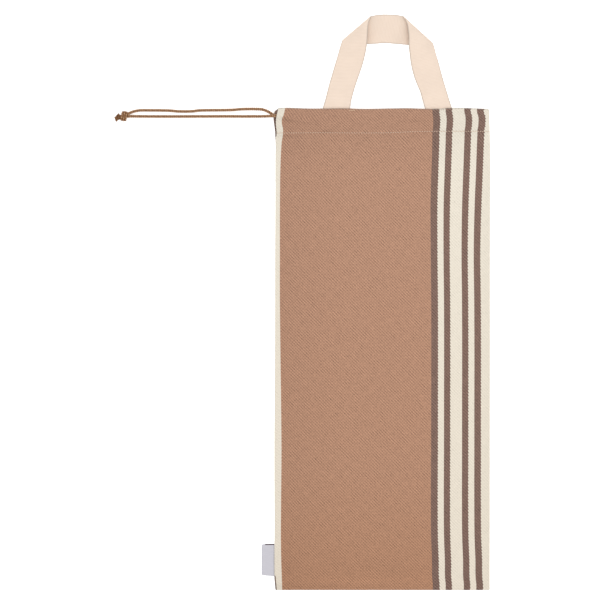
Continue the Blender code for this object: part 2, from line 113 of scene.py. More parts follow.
def mix(first, second, share):
    return first + (second - first) * share


# A column of a table, read smoothly at places in its first column
def readTable(table, column, at):
    places = np.array(table[next(iter(table))])
    values = np.array(table[column])
    slopes = np.gradient(values, places)
    at = np.clip(at, places[0], places[-1])
    row = np.clip(np.searchsorted(places, at) - 1, 0, len(places) - 2)
    width = places[row + 1] - places[row]
    t = (at - places[row]) / width
    low, high = values[row], values[row + 1]
    rise = high - low
    bend = t * (1.0 - t) * ((1.0 - t) * (slopes[row] * width - rise) + t * (rise - slopes[row + 1] * width))
    return low + rise * t + bend


# How far each point of a line is along it
def lengthAlong(line):
    return np.r_[0.0, np.cumsum(np.linalg.norm(np.diff(line, axis=0), axis=1))]


def newPiece(name, points, faces, material=None, smooth=True, lines=()):
    mesh = bpy.data.meshes.new(name)
    mesh.from_pydata([tuple(point) for point in points], lines, faces)
    if material:
        mesh.materials.append(material)
    mesh.polygons.foreach_set("use_smooth", [smooth] * len(mesh.polygons))
    mesh.update()
    piece = bpy.data.objects.new(name, mesh)
    bpy.context.scene.collection.objects.link(piece)
    return piece


# Gives every point of a piece a number, or a direction, that its material or its nodes read
def givePoints(piece, name, values):
    kind, field = ("FLOAT", "value") if np.ndim(values) == 1 else ("FLOAT_VECTOR", "vector")
    piece.data.attributes.new(name, kind, "POINT").data.foreach_set(field, np.ravel(values))


# The corners of the quads over a grid, of point numbers or of anything else that lies on it
def quads(grid):
    corners = (grid[:-1, :-1], grid[1:, :-1], grid[1:, 1:], grid[:-1, 1:])
    return np.stack(corners, axis=2).reshape(-1, 4, *grid.shape[2:])


# Turns a closed mesh's faces outwards
def faceOut(mesh):
    shape = bmesh.new()
    shape.from_mesh(mesh)
    bmesh.ops.recalc_face_normals(shape, faces=shape.faces)
    shape.to_mesh(mesh)
    shape.free()


# The bag's lengths and places are measured from its left seam and bottom seam, as a maker would
bag = {
    "width": 0.280,
    "height": 0.628,
}
bagLow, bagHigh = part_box("bag_cloth")
seamCorner = np.array([bagHigh[0] - bag["width"], bagLow[1], 0.0])


def place(points):
    return np.asarray(points) + seamCorner


# Nearly all of a noise's values lie between these
noiseRange = (0.3, 0.7)

# The camera stands straight above the middle of the bag, its handle and its cords
viewing = {
    "middle": (0.03585, 0.3748),
    "width": 0.7883,  # of the view on the floor, in metres
    "lens": 200.0,
    "sensor": 36.0,
}
cameraData = bpy.data.cameras.new("camera")
cameraData.lens = viewing["lens"]
cameraData.sensor_width = viewing["sensor"]
cameraData.clip_end = 100.0
camera = bpy.data.objects.new("camera", cameraData)
camera.location = place((*viewing["middle"], viewing["width"] * viewing["lens"] / viewing["sensor"]))
bpy.context.scene.collection.objects.link(camera)
bpy.context.scene.camera = camera

# Braided cotton cord, 3 mm: eight yarns cross over and under, four each way round
cord = {
    "radius": 0.0015,
    "loosePart": 1.28,  # how much thicker the cord is where nothing presses it
    "yarnsEachWay": 4,
    "pitch": 0.0102,  # in which a yarn goes once round
    "sides": 24,
    "ringStep": 0.00045,
    "relief": 0.00022,  # how deep the braid is
    "dip": 0.45,  # how high a yarn still is where it dips under
    "litTops": 0.3,  # how much of a yarn's shade is painted shade from its height, darker where it dips
    "flareLength": 0.0045,  # of a splayed end
    "cutLength": 0.002,
    "shades": (0.8, 0.15),  # of yarns on top and yarns that dip under
    "shadeVaries": 0.12,  # from yarn to yarn
    # from the darkest shade to the lightest
    "colours": ((0.0, "#392417"), (0.3, "#6f4d33"), (0.55, "#977050"), (1.0, "#d6b595")),
    "fibres": 2200.0,
    "bump": (0.4, 0.0001),
    # where each strand leaves the hem, from the left seam and the bottom seam
    "exits": {"front": (0.0023, 0.6175, 0.00995), "back": (-0.0019, 0.6185, 0.0031)},
    "paths": {
        # left of the side seam, below the top edge, and above the floor
        "front": {
            "left": (-0.0100, -0.0044, 0.0030, 0.0100, 0.0190, 0.0300, 0.0430, 0.0550, 0.0700, 0.1000,
                     0.1350, 0.1650, 0.1800, 0.1875, 0.1925),
            "depth": (0.0104, 0.0104, 0.0107, 0.0109, 0.0110, 0.0109, 0.0109, 0.0108, 0.0108, 0.0109,
                      0.0110, 0.0109, 0.0108, 0.0107, 0.0110),
            "height": (0.0109, 0.0102, 0.0091, 0.0077, 0.0054, 0.0030, 0.00165, 0.0015, 0.0015, 0.0015,
                       0.0015, 0.0015, 0.00155, 0.0020, 0.0036),
        },
        "back": {
            "left": (-0.0060, 0.0002, 0.0030, 0.0060, 0.0090, 0.0120, 0.0150, 0.0200, 0.0320, 0.0450,
                     0.0580, 0.0960, 0.1080, 0.1250, 0.1400, 0.1720, 0.1800, 0.1850, 0.1885, 0.1925),
            "depth": (0.0095, 0.0095, 0.0083, 0.0063, 0.0046, 0.0032, 0.0022, 0.0014, 0.0012, 0.0015,
                      0.0025, 0.0030, 0.0042, 0.0043, 0.0032, 0.0029, 0.0036, 0.0048, 0.0061, 0.0084),
            "height": (0.0031, 0.0031, 0.00305, 0.0028, 0.0024, 0.0020, 0.0017, 0.0015, 0.0015, 0.0015,
                       0.0015, 0.0015, 0.0015, 0.0015, 0.0015, 0.0015, 0.0016, 0.0019, 0.0024, 0.0042),
        },
    },
}


# A Catmull-Rom curve through the points, in even steps
def smoothRoute(points, step):
    points = np.asarray(points)
    ends = np.vstack([2 * points[0] - points[1], points, 2 * points[-1] - points[-2]])
    t = np.linspace(0.0, 1.0, 33)[:-1, None]  # 32 steps from each point to the next
    line = []
    for before, start, end, after in zip(ends, ends[1:], ends[2:], ends[3:]):
        bend, swing = 3 * (start - end) - before + after, 2 * before - 5 * start + 4 * end - after
        line.append(start + 0.5 * ((end - before) * t + swing * t ** 2 + bend * t ** 3))
    line = np.vstack(line + [points[-1:]])
    along = lengthAlong(line)
    even = np.linspace(0.0, along[-1], max(2, int(round(along[-1] / step)) + 1))
    return np.stack([np.interp(even, along, line[:, axis]) for axis in range(3)], axis=1)


# Two directions square to the path at each point, turning as little as they can
def frameAlong(points):
    tangents = np.gradient(points, axis=0)
    tangents /= np.linalg.norm(tangents, axis=1)[:, None]
    side = np.cross(tangents[0], (0.0, 0.0, 1.0))
    sides = []
    for tangent in tangents:
        side = side - tangent * (side @ tangent)
        side = side / np.linalg.norm(side)
        sides.append(side)
    sides = np.array(sides)
    return tangents, sides, np.cross(sides, tangents)


# The braid's shape and shade round a cord: which yarn is on top, how high it stands, and how light it is:
# its yarn's colour, with painted shade where it lies lower
def braid(around, along):
    count = cord["yarnsEachWay"]
    first = count * (around + along / cord["pitch"])
    second = count * (around - along / cord["pitch"])
    across, down = first % 1.0, second % 1.0
    over = (np.floor(first) + np.floor(second)) % 2 == 0
    width = np.where(over, across, down)
    length = np.where(over, down, across)
    height = np.sqrt(np.clip(1.0 - (2.0 * width - 1.0) ** 2, 0.0, 1.0))
    height = height * mix(cord["dip"], 1.0, np.sin(math.pi * length))
    yarn = np.where(over, np.floor(first) % count, count + np.floor(second) % count)
    shade = np.where(over, *cord["shades"]) + cord["shadeVaries"] * np.sin(yarn * 2.3)
    return height, np.clip(mix(shade, height, cord["litTops"]), 0.0, 1.0)


# Points, faces and shades of one length of braided cord. flare splays its cut end, and cut slants it.
def braidedTube(points, radius, flare=0.0, cut=0.0):
    tangents, sides, tops = frameAlong(points)
    count, rings = cord["sides"], len(points)
    around = np.arange(count) / count
    along = lengthAlong(points)
    height, shade = braid(around[None, :], along[:, None])
    out = radius - cord["relief"] * (1.0 - height)
    fromEnd = along[-1] - along
    splay = flare * ease(1.0 - fromEnd / cord["flareLength"])[:, None, None]
    turn = 2.0 * math.pi * around
    ring = (1.0 + splay) * np.cos(turn)[None, :, None] * sides[:, None, :]
    ring = ring + (1.0 - 0.3 * splay) * np.sin(turn)[None, :, None] * tops[:, None, :]
    shell = points[:, None, :] + ring * out[..., None]
    slant = ease(1.0 - fromEnd / cord["cutLength"])[:, None] * cut * np.cos(turn)[None, :] * radius
    shell = shell + tangents[:, None, :] * slant[..., None]
    grid = np.arange(rings * count).reshape(rings, count)
    faces = quads(np.hstack([grid, grid[:, :1]])).tolist()
    vertices = shell.reshape(-1, 3)
    caps = np.array([shell[0].mean(axis=0), shell[-1].mean(axis=0)])
    for centre, loop in ((len(vertices), grid[0]), (len(vertices) + 1, grid[-1][::-1])):
        faces += [[centre, a, b] for a, b in zip(loop, np.roll(loop, -1))]
    return np.vstack([vertices, caps]), faces, np.r_[shade.ravel(), 0.3, 0.3]


# Joins lengths of cord in one piece
def cordPiece(name, tubes):
    points, faces, shades, start = [], [], [], 0
    for tubePoints, tubeFaces, tubeShades in tubes:
        points.append(tubePoints)
        faces += [[start + corner for corner in face] for face in tubeFaces]
        shades.append(tubeShades)
        start += len(tubePoints)
    piece = newPiece(name, np.vstack(points), faces, cordMaterial)
    givePoints(piece, "yarnShade", np.concatenate(shades))
    faceOut(piece.data)
    return piece


# Braided cotton: matt yarns in a few browns, with painted shade where they dip under each other
def makeCordMaterial():
    material, add = newMaterial("braidedCottonCord")
    shade = add("Attribute", attribute_name="yarnShade")
    ramp = add("ValToRGB", Fac=shade.outputs["Fac"])
    stops = ramp.color_ramp.elements
    for position, hexCode in cord["colours"]:
        stop = stops.new(position) if position not in (0.0, 1.0) else stops[0 if position == 0.0 else -1]
        stop.color = linearColour(hexCode)
    spots = add("TexCoord").outputs["Object"]
    fibres = add("TexNoise", Vector=spots, Scale=cord["fibres"], Detail=2.0)
    finishMaterial(add, fibres, *cord["bump"], Base_Color=ramp, Roughness=0.85, Specular_IOR_Level=0.1)
    return material


cordMaterial = makeCordMaterial()


# Points given left of the side seam, below the top edge and above the floor
def leftOfSeam(left, depth, height):
    return np.stack([-np.array(left), bag["height"] - np.array(depth), height], axis=1)


# A smooth route for a cord, kept at least so far above the floor
def layRoute(points, lowest):
    route = smoothRoute(place(points), cord["ringStep"])
    route[:, 2] = np.maximum(route[:, 2], lowest)
    return route


looseRadius = cord["radius"] * cord["loosePart"]
strandRoutes, strands = {}, {}
for side, path in cord["paths"].items():
    strandRoutes[side] = layRoute(leftOfSeam(*path.values()), looseRadius)
    strands[side] = cordPiece(f"{side}_strand_braid", [braidedTube(strandRoutes[side], looseRadius)])
print("strands made")

# Both strands are tied together in one overhand knot: three wraps round the pair, then two splayed tails
knot = {
    "centre": (0.1963, 0.0107, 0.0050),  # left of the seam, below the top edge, above the floor
    "turnRadius": (0.0052, 0.0034),  # sideways and upwards, to the middle of the cord
    "turns": 3.0,
    "pitch": 0.0023,
    "roundness": 0.18,  # how much smaller the outer wraps are
    "lean": 0.0003,
    "cordRadius": 0.0017,
    # the pair inside the wraps and its tails, in the same way
    "cores": (
        ((0.1915, 0.0104, 0.0030), (0.1935, 0.0108, 0.0038), (0.1962, 0.0111, 0.0046),
         (0.1990, 0.0112, 0.0040), (0.2008, 0.0107, 0.0030), (0.2030, 0.0101, 0.0022),
         (0.2060, 0.0090, 0.0018)),
        ((0.1915, 0.0092, 0.0040), (0.1935, 0.0096, 0.0046), (0.1962, 0.0108, 0.0052),
         (0.1990, 0.0122, 0.0044), (0.2010, 0.0130, 0.0032), (0.2042, 0.0138, 0.0022),
         (0.2081, 0.0148, 0.0018)),
    ),
    "shades": (0.85, 0.6, 0.6),  # of the wraps and the two cores: tight cord is darker
    "splay": (1.15, 1.1),
    "cuts": (-0.9, 0.2),  # how far each tail's cut slants, in its own thickness
    "stepsPerTurn": 40,
}


def makeKnot():
    left, depth, height = knot["centre"]
    wide, tall = knot["turnRadius"]
    share = np.linspace(-1.0, 1.0, int(knot["stepsPerTurn"] * knot["turns"]))
    turn = share * math.pi * knot["turns"] + math.pi / 2.0
    tucked = 0.5 * ease((np.abs(share) - 0.85) / 0.15)  # both ends of the wraps go inside the knot
    size = 1.0 - knot["roundness"] * share ** 2 - tucked
    along = left + share * knot["pitch"] * knot["turns"] / 2.0 - knot["lean"] * np.cos(turn)
    wraps = np.stack([-along, bag["height"] - depth + wide * size * np.cos(turn),
                      height + tall * size * np.sin(turn)], axis=1)
    lengths = [(wraps, 0.0, 0.0)]
    for core, splay, slant in zip(knot["cores"], knot["splay"], knot["cuts"]):
        lengths.append((leftOfSeam(*zip(*core)), splay, slant))
    made = []
    for (points, splay, slant), share in zip(lengths, knot["shades"]):
        route = layRoute(points, knot["cordRadius"] + 0.0001)
        vertices, faces, shades = braidedTube(route, knot["cordRadius"], splay, slant)
        made.append((vertices, faces, shades * share))
    return cordPiece("overhand_knot", made)


knotPiece = makeKnot()
print("knot tied")

# The bag is one cloth: front and back layers lie flat on each other, joined by the fold on the right
cloth = {
    "thickness": 0.0008,
    "seamWall": 0.0016,
    "fullHeight": 0.0135,  # top of the front over the floor, in the middle
    "mouthHeight": 0.0148,
    "sideRise": 0.060,  # how far in from the sides the front takes to come up
    "bottomRise": 0.075,
    "hemDepth": 0.0329,
    "hemGap": 0.0003,
    "tunnelStarts": 0.0312,
    "tunnelHeight": 0.0037,
    "tunnelSpread": 0.0046,
    "cordDepths": (0.0105, 0.0090),  # front and back
    "ridgeShare": 0.4,  # of the cord's bulge that shows on the outside of the front
    "openEnd": 0.024,  # how far in from the left the cord's end widens the casing
    "mouthFade": 0.058,  # how far below the hem the front comes down to its full height
    "slitDepth": 0.038,
    "slitFade": 0.004,
    "hemRiseReach": 0.012,
    # where the cloth closes up to the hem's stitching, and how far its inside edge is set in there
    "lipDepths": (0.0368, 0.0352, 0.0341),
    "lipInsets": (0.0008, 0.0003, 0.0),
    "mouthRoll": 0.0016,  # the depth of the rolled edge
    "rollPoints": 9,
    "backLower": 0.0006,
    "stitchDip": 0.0006,
    "lines": 100,  # down each layer
    "lineCrowding": 0.55,  # how much closer together they are at its sides
    "foldLines": 15,
    "bodyRows": 150,
    "insideRows": 44,
    "crowding": 0.75,  # how much closer together the body's rows are at the hem and the foot
    "hemRows": 24,
    "edgePoints": 7,  # round a sewn edge
    "edgeBulge": 0.0007,
    "seamGroove": (0.75, 0.11),  # its depth and width in the sewn edge's bulge
}
outlineTable = {
    "depth": (0.0, 0.004, 0.009, 0.015, 0.021, 0.026, 0.033, 0.038, 0.054, 0.120, 0.185, 0.300, 0.450,
              0.560, 0.600, 0.612, 0.620, 0.628),
    "frontLeft": (0.0044, 0.0036, 0.0026, 0.0014, 0.0012, 0.0016, 0.0022, 0.0014, 0.0007, 0.0004, 0.0,
                  -0.0002, -0.0010, -0.0008, -0.0009, -0.0006, 0.0002, 0.0011),
    "backLeft": (0.0044, -0.0008, -0.0019, -0.0017, -0.0010, -0.0004, 0.0002, 0.0003, 0.0007, 0.0004, 0.0,
                 -0.0002, -0.0010, -0.0008, -0.0011, -0.0010, -0.0003, 0.0002),
    "right": (-0.0011, -0.0007, -0.0009, -0.0008, -0.0007, -0.0005, -0.0004, -0.0002, 0.0004, 0.0003,
              0.0001, 0.0001, -0.0001, -0.0002, -0.0003, -0.0003, -0.0003, -0.0003),
    "leftHeight": (0.0092, 0.0092, 0.0092, 0.0090, 0.0082, 0.0072, 0.0056, 0.0044, 0.0034, 0.0030, 0.0030,
                   0.0030, 0.0030, 0.0030, 0.0030, 0.0030, 0.0030, 0.0030),
    "rightHeight": (0.0112, 0.0112, 0.0112, 0.0112, 0.0112, 0.0112, 0.0110, 0.0105, 0.0085, 0.0054,
                    0.0044, 0.0044, 0.0044, 0.0044, 0.0044, 0.0044, 0.0044, 0.0044),
}
# how far the hem's stitching and all near it stand above their even line
hemRiseTable = {
    "along": (0.0, 0.015, 0.060, 0.100, 0.150, 0.172, 0.190, 0.215, 0.240, 0.280),
    "rise": (0.0003, 0.0001, 0.0001, -0.0001, 0.0002, 0.0012, 0.0017, 0.0020, 0.0021, 0.0021),
}
topEdgeTable = {
    "along": (0.0, 0.013, 0.045, 0.064, 0.094, 0.110, 0.150, 0.175, 0.190, 0.210, 0.228, 0.264, 0.280),
    "rise": (0.0, 0.0, -0.0012, -0.0012, -0.0010, -0.0016, -0.0011, -0.0008, -0.0014, -0.0018, -0.0006,
             -0.0011, -0.0017),
}


def crownShare(share):
    return 1.0 - (1.0 - np.clip(share, 0.0, 1.0)) ** 2


# Waves of a few lengths that never quite repeat: their lengths, and where they start
ripples = {
    "slackAcross": ((0.171, 0.093), 0.4),
    "slackDown": ((0.233, 0.127), 1.9),
    "sidePucker": ((0.0131, 0.0217, 0.0371), 0.7),
    "foldPucker": ((0.0231, 0.0417), 2.7),
    "footPucker": ((0.0121, 0.0193, 0.0331), 1.3),
    "hemPucker": ((0.0093, 0.0149, 0.0263), 0.2),
    "casing": ((0.0170, 0.0291, 0.0530), 2.2),
}


def ripple(name, at):
    lengths, start = ripples[name]
    waves = [np.sin(2.0 * math.pi * at / length + start + 2.1 * n) for n, length in enumerate(lengths)]
    return sum(waves) / len(waves)


# The front's creases: where each one's middle is along and below the mouth, half its length
# and its width, how far it falls for each step to the right, and how much painted shade it gets, which also
# sets how deep its trough is. A ridge's last number is below zero: it gets painted light and stands proud.
creases = (
    # in the casing
    (0.0150, 0.0156, 0.0080, 0.0022, 0.20, 0.170),
    (0.0267, 0.0186, 0.0100, 0.0020, 0.15, 0.065),
    (0.0476, 0.0211, 0.0120, 0.0018, 0.05, 0.065),
    (0.0208, 0.0274, 0.0060, 0.0022, 0.00, 0.060),
    (0.0660, 0.0303, 0.0075, 0.0020, 0.00, 0.100),
    (0.0853, 0.0300, 0.0130, 0.0024, 0.00, 0.060),
    (0.1100, 0.0225, 0.0060, 0.0024, 0.00, 0.025),
    (0.1520, 0.0235, 0.0060, 0.0040, 0.00, 0.030),
    (0.1680, 0.0182, 0.0060, 0.0020, 0.00, 0.055),
    (0.1855, 0.0175, 0.0075, 0.0022, 0.00, 0.085),
    # under its stitching
    (0.0150, 0.0366, 0.0130, 0.0024, 0.05, 0.080),
    (0.0320, 0.0475, 0.0080, 0.0050, 0.00, 0.030),
    (0.0660, 0.0385, 0.0055, 0.0030, 0.00, -0.040),
    (0.0777, 0.0485, 0.0055, 0.0050, 0.00, -0.050),
    (0.0960, 0.0470, 0.0070, 0.0040, 0.00, -0.040),
    (0.1190, 0.0385, 0.0055, 0.0040, 0.00, 0.045),
    (0.1330, 0.0475, 0.0070, 0.0040, 0.00, -0.035),
    (0.1440, 0.0370, 0.0080, 0.0028, 0.00, 0.035),
    (0.1810, 0.0370, 0.0060, 0.0030, 0.00, 0.080),
    # over the foot
    (0.0160, 0.6000, 0.0140, 0.0200, 0.00, 0.035),
    (0.0814, 0.5930, 0.0120, 0.0040, 0.00, 0.040),
    (0.0980, 0.6070, 0.0060, 0.0060, 0.00, 0.050),
    (0.1220, 0.5965, 0.0100, 0.0055, 0.20, 0.045),
    (0.1570, 0.6010, 0.0130, 0.0075, 0.25, 0.045),
    # the allowance inside the foot's seam
    (0.1100, 0.6157, 0.0850, 0.0038, 0.00, -0.050),
    (0.0950, 0.6157, 0.0060, 0.0045, 0.00, -0.030),
    (0.1200, 0.6147, 0.0080, 0.0050, 0.00, -0.045),
    (0.0400, 0.6230, 0.0800, 0.0034, 0.00, 0.045),
)


def creaseShade(x, depth):
    shade = np.zeros(np.broadcast(x, depth).shape)
    for along, down, length, width, fall, darker in creases:
        right, below = x - along, depth - down
        shade += darker * np.exp(-((right / length) ** 2 + ((below - fall * right) / width) ** 2))
    return shade


# How far the front stands off a smooth pillow shape: slack cloth, seam allowances under it, and puckers at
# its seams
relief = {
    "slack": 0.00042,
    "allowance": 0.00030,
    "hemStep": 0.00070,
    "sidePucker": 0.00016,
    "foldPucker": 0.00010,
    "footPucker": 0.00014,
    "hemPucker": 0.00017,
    "casing": 0.00016,
    "crease": -0.003,  # of one that is quite black
    "puckerReach": 0.006,
}


def frontRelief(across, depth):
    x, up = across * bag["width"], bag["height"] - depth
    fromFold, fromHem, reach = bag["width"] - x, depth - cloth["hemDepth"], relief["puckerReach"]
    slack = ripple("slackAcross", x + 0.35 * up) * ripple("slackDown", up - 0.2 * x)
    inward = ease(x / 0.05) * ease(fromFold / 0.05) * ease(up / 0.06) * ease((depth - 0.05) / 0.08)
    allowance = (1.0 - ease((x - 0.009) / 0.004)) * ease((depth - 0.040) / 0.01)
    nearHem, inCasing = np.exp(-np.abs(fromHem) / 0.0075), np.exp(-((depth - 0.019) / 0.009) ** 2)
    shapes = {
        "slack": slack * inward,
        "allowance": np.maximum(allowance, 2.0 - 2.0 * ease((up - 0.0105) / 0.0035)),
        "hemStep": 1.0 - ease(fromHem / 0.007),
        "sidePucker": ripple("sidePucker", up) * np.exp(-x / reach),
        "foldPucker": ripple("foldPucker", up) * np.exp(-fromFold / reach),
        "footPucker": ripple("footPucker", x) * np.exp(-up / reach),
        "hemPucker": ripple("hemPucker", x + 0.3 * depth) * nearHem,
        "casing": ripple("casing", x - 0.8 * depth) * inCasing,
        "crease": creaseShade(x, depth),
    }
    return sum(relief[name] * shape for name, shape in shapes.items())


def frontHeight(across, depth):
    left, right = (readTable(outlineTable, name, depth) for name in ("leftHeight", "rightHeight"))
    edge = mix(left, right, across)
    fade = ease((depth - cloth["hemDepth"]) / cloth["mouthFade"])
    top = mix(cloth["mouthHeight"], cloth["fullHeight"], fade)
    side = cloth["sideRise"] / bag["width"]
    lift = crownShare(across / side) * crownShare((1.0 - across) / side)
    lift = lift * crownShare((bag["height"] - depth) / cloth["bottomRise"])
    return edge + (top - edge) * lift + frontRelief(across, depth)


# The gap between the hem's two layers is wide where the cord runs
def tunnelGap(depth, backness):
    cordDepth = mix(*cloth["cordDepths"], backness)
    bulge = np.exp(-((depth - cordDepth) / cloth["tunnelSpread"]) ** 2)
    return cloth["hemGap"] + (cloth["tunnelHeight"] - cloth["hemGap"]) * bulge


def ridge(depth, backness):
    return np.where(depth <= cloth["tunnelStarts"], tunnelGap(depth, backness) - cloth["hemGap"], 0.0)


# How much of the bulge shows outside. At the cord's open end on the left all of it does.
def outShare(across, angle):
    openEnd = np.where(angle == 90.0, 1.0 - ease(across * bag["width"] / cloth["openEnd"]), 0.0)
    return (1.0 - (90.0 - angle) / 180.0) * mix(cloth["ridgeShare"], 1.0, openEnd)


def foldCentre(depth):
    radius = frontHeight(np.ones_like(depth), depth) / 2.0
    apex = bag["width"] + readTable(outlineTable, "right", depth)
    return apex - radius - 0.5 * cloth["ridgeShare"] * ridge(depth, 0.5), radius


# How far across a layer a place is, from its left edge to the fold
def acrossAt(x, depth, edge="frontLeft"):
    left = readTable(outlineTable, edge, depth)
    return (x - left) / (foldCentre(depth)[0] - left)


# A point of the cloth: across is 0 at the left and 1 at the fold, angle is 90 on the front and -90 on the
# back, and outward is measured from the smooth outer face
def clothPoint(across, angle, depth, outward, inset=0.0):
    across, angle, depth, outward, inset = np.broadcast_arrays(across, angle, depth, outward, inset)
    centre, radius = foldCentre(depth)
    onFront = angle > 0
    left = np.where(onFront, readTable(outlineTable, "frontLeft", depth),
                    readTable(outlineTable, "backLeft", depth)) + inset
    left = left + cloth["edgeBulge"] * ease((depth - cloth["slitDepth"]) / cloth["slitFade"])
    flat = np.abs(angle) == 90.0
    turn = np.radians(angle)
    x = np.where(flat, left + across * (centre - left), centre + (radius + outward) * np.cos(turn))
    z = np.where(onFront, frontHeight(across, depth) + outward, -outward)
    z = np.where(flat, z, np.maximum(radius + (radius + outward) * np.sin(turn), 0.0))
    rise = readTable(topEdgeTable, "rise", x) - cloth["backLower"] * (90.0 - angle) / 180.0
    y = bag["height"] - depth + rise * (1.0 - ease(depth / cloth["hemDepth"]))
    nearHem = np.exp(-((depth - cloth["hemDepth"]) / cloth["hemRiseReach"]) ** 2)
    y = y + readTable(hemRiseTable, "rise", x) * nearHem
    return np.stack([x, y, z], axis=-1)


hemStack = 2.0 * cloth["thickness"] + cloth["hemGap"]


# Outward places of the faces of the hem's two layers, from the mouth's side out
def hemFaces(across, angle, depth):
    backness = (90.0 - angle) / 180.0
    gap = tunnelGap(depth, backness)
    lining = -(1.0 - outShare(across, angle)) * (gap - cloth["hemGap"]) - hemStack
    under = lining + cloth["thickness"]
    return lining, under, under + gap, lining + hemStack + gap - cloth["hemGap"]


# Even steps that are closer together at both ends
def closerAtEnds(count, share):
    t = np.linspace(0.0, 1.0, count)
    return t - share * np.sin(2.0 * math.pi * t) / (2.0 * math.pi)


# Where the cloth's own threads lie: the cut cloth runs from the left seam across the front, round the fold
# and over the back. The stripes wander a little from straight lines, as woven cloth does when it is sewn.
weave = {
    "left": 0.0067,
    "firstDark": 0.2038,
    "lastDark": 0.2684,
}
wanderTable = {
    "depth": (0.0010, 0.0050, 0.0102, 0.0154, 0.0206, 0.0258, 0.0310, 0.0362, 0.0414, 0.0545, 0.0805,
              0.1196, 0.1848, 0.2499, 0.3151, 0.3802, 0.4454, 0.5105, 0.5626, 0.5887, 0.6121, 0.6200,
              0.6280),
    "left": (0.0132, 0.0125, 0.0111, 0.0091, 0.0090, 0.0102, 0.0107, 0.0103, 0.0093, 0.0081, 0.0070,
             0.0065, 0.0064, 0.0064, 0.0071, 0.0080, 0.0086, 0.0081, 0.0078, 0.0083, 0.0090, 0.0093,
             0.0093),
    "firstDark": (0.2046, 0.2046, 0.2052, 0.2056, 0.2055, 0.2053, 0.2050, 0.2045, 0.2046, 0.2042, 0.2034,
                  0.2023, 0.2025, 0.2031, 0.2032, 0.2031, 0.2030, 0.2027, 0.2031, 0.2041, 0.2046, 0.2054,
                  0.2054),
    "lastDark": (0.2716, 0.2716, 0.2732, 0.2737, 0.2735, 0.2733, 0.2722, 0.2722, 0.2719, 0.2714, 0.2705,
                 0.2689, 0.2672, 0.2678, 0.2681, 0.2680, 0.2680, 0.2680, 0.2685, 0.2696, 0.2700, 0.2708,
                 0.2708),
}


def threadAcross(x, depth, left, centre):
    marks = [0.0, *weave.values()]
    wandered = [readTable(wanderTable, name, depth) for name in weave]
    found = np.zeros_like(x)
    for row in range(x.shape[1]):
        spots = [left[row], *(column[row] for column in wandered)]
        fold = weave["lastDark"] + centre[row] - spots[-1]
        found[:, row] = np.interp(x[:, row], spots + [centre[row]], marks + [fold])
    return found


# Collects the cloth's points, its faces, and where each corner of a face lies on the flat cloth
class Sewing:
    def __init__(self):
        self.points, self.threads, self.faces, self.corners, self.count = [], [], [], [], 0

    def add(self, points, threads):
        numbers = self.count + np.arange(points[..., 0].size).reshape(points.shape[:-1])
        self.points.append(points.reshape(-1, 3))
        self.threads.append(threads.reshape(-1, 2))
        self.count += numbers.size
        return numbers

    def threadsAt(self, numbers):
        return np.vstack(self.threads)[numbers]

    def patch(self, grid, threads=None):
        threads = self.threadsAt(grid) if threads is None else threads
        self.faces += quads(grid).tolist()
        self.corners.append(quads(threads).reshape(-1, 2))

    def face(self, *corners):
        self.faces.append([int(corner) for corner in corners])
        self.corners.append(self.threadsAt(list(corners)))

    # A sewn edge: each half of it takes the threads of the layer that it belongs to
    def edge(self, frontLine, between, backLine):
        grid = np.column_stack([frontLine, between, backLine])
        half = grid.shape[1] // 2
        self.patch(grid[:, :half + 1], np.repeat(self.threadsAt(frontLine)[:, None], half + 1, axis=1))
        self.patch(grid[:, half:], np.repeat(self.threadsAt(backLine)[:, None], half + 1, axis=1))

    def piece(self, name, material):
        points = np.vstack(self.points)
        piece = newPiece(name, points, self.faces, material)
        x, y, z = (points - place(np.zeros((1, 3)))).T
        inFront = z > 0.5 * frontHeight(x / bag["width"], bag["height"] - y)
        # the creases' painted shade and the ridges' painted light, for the front's material
        givePoints(piece, "creaseShade", creaseShade(x, bag["height"] - y) * inFront)
        layer = piece.data.uv_layers.new(name="threads")
        layer.data.foreach_set("uv", np.vstack(self.corners).ravel())
        faceOut(piece.data)
        return piece


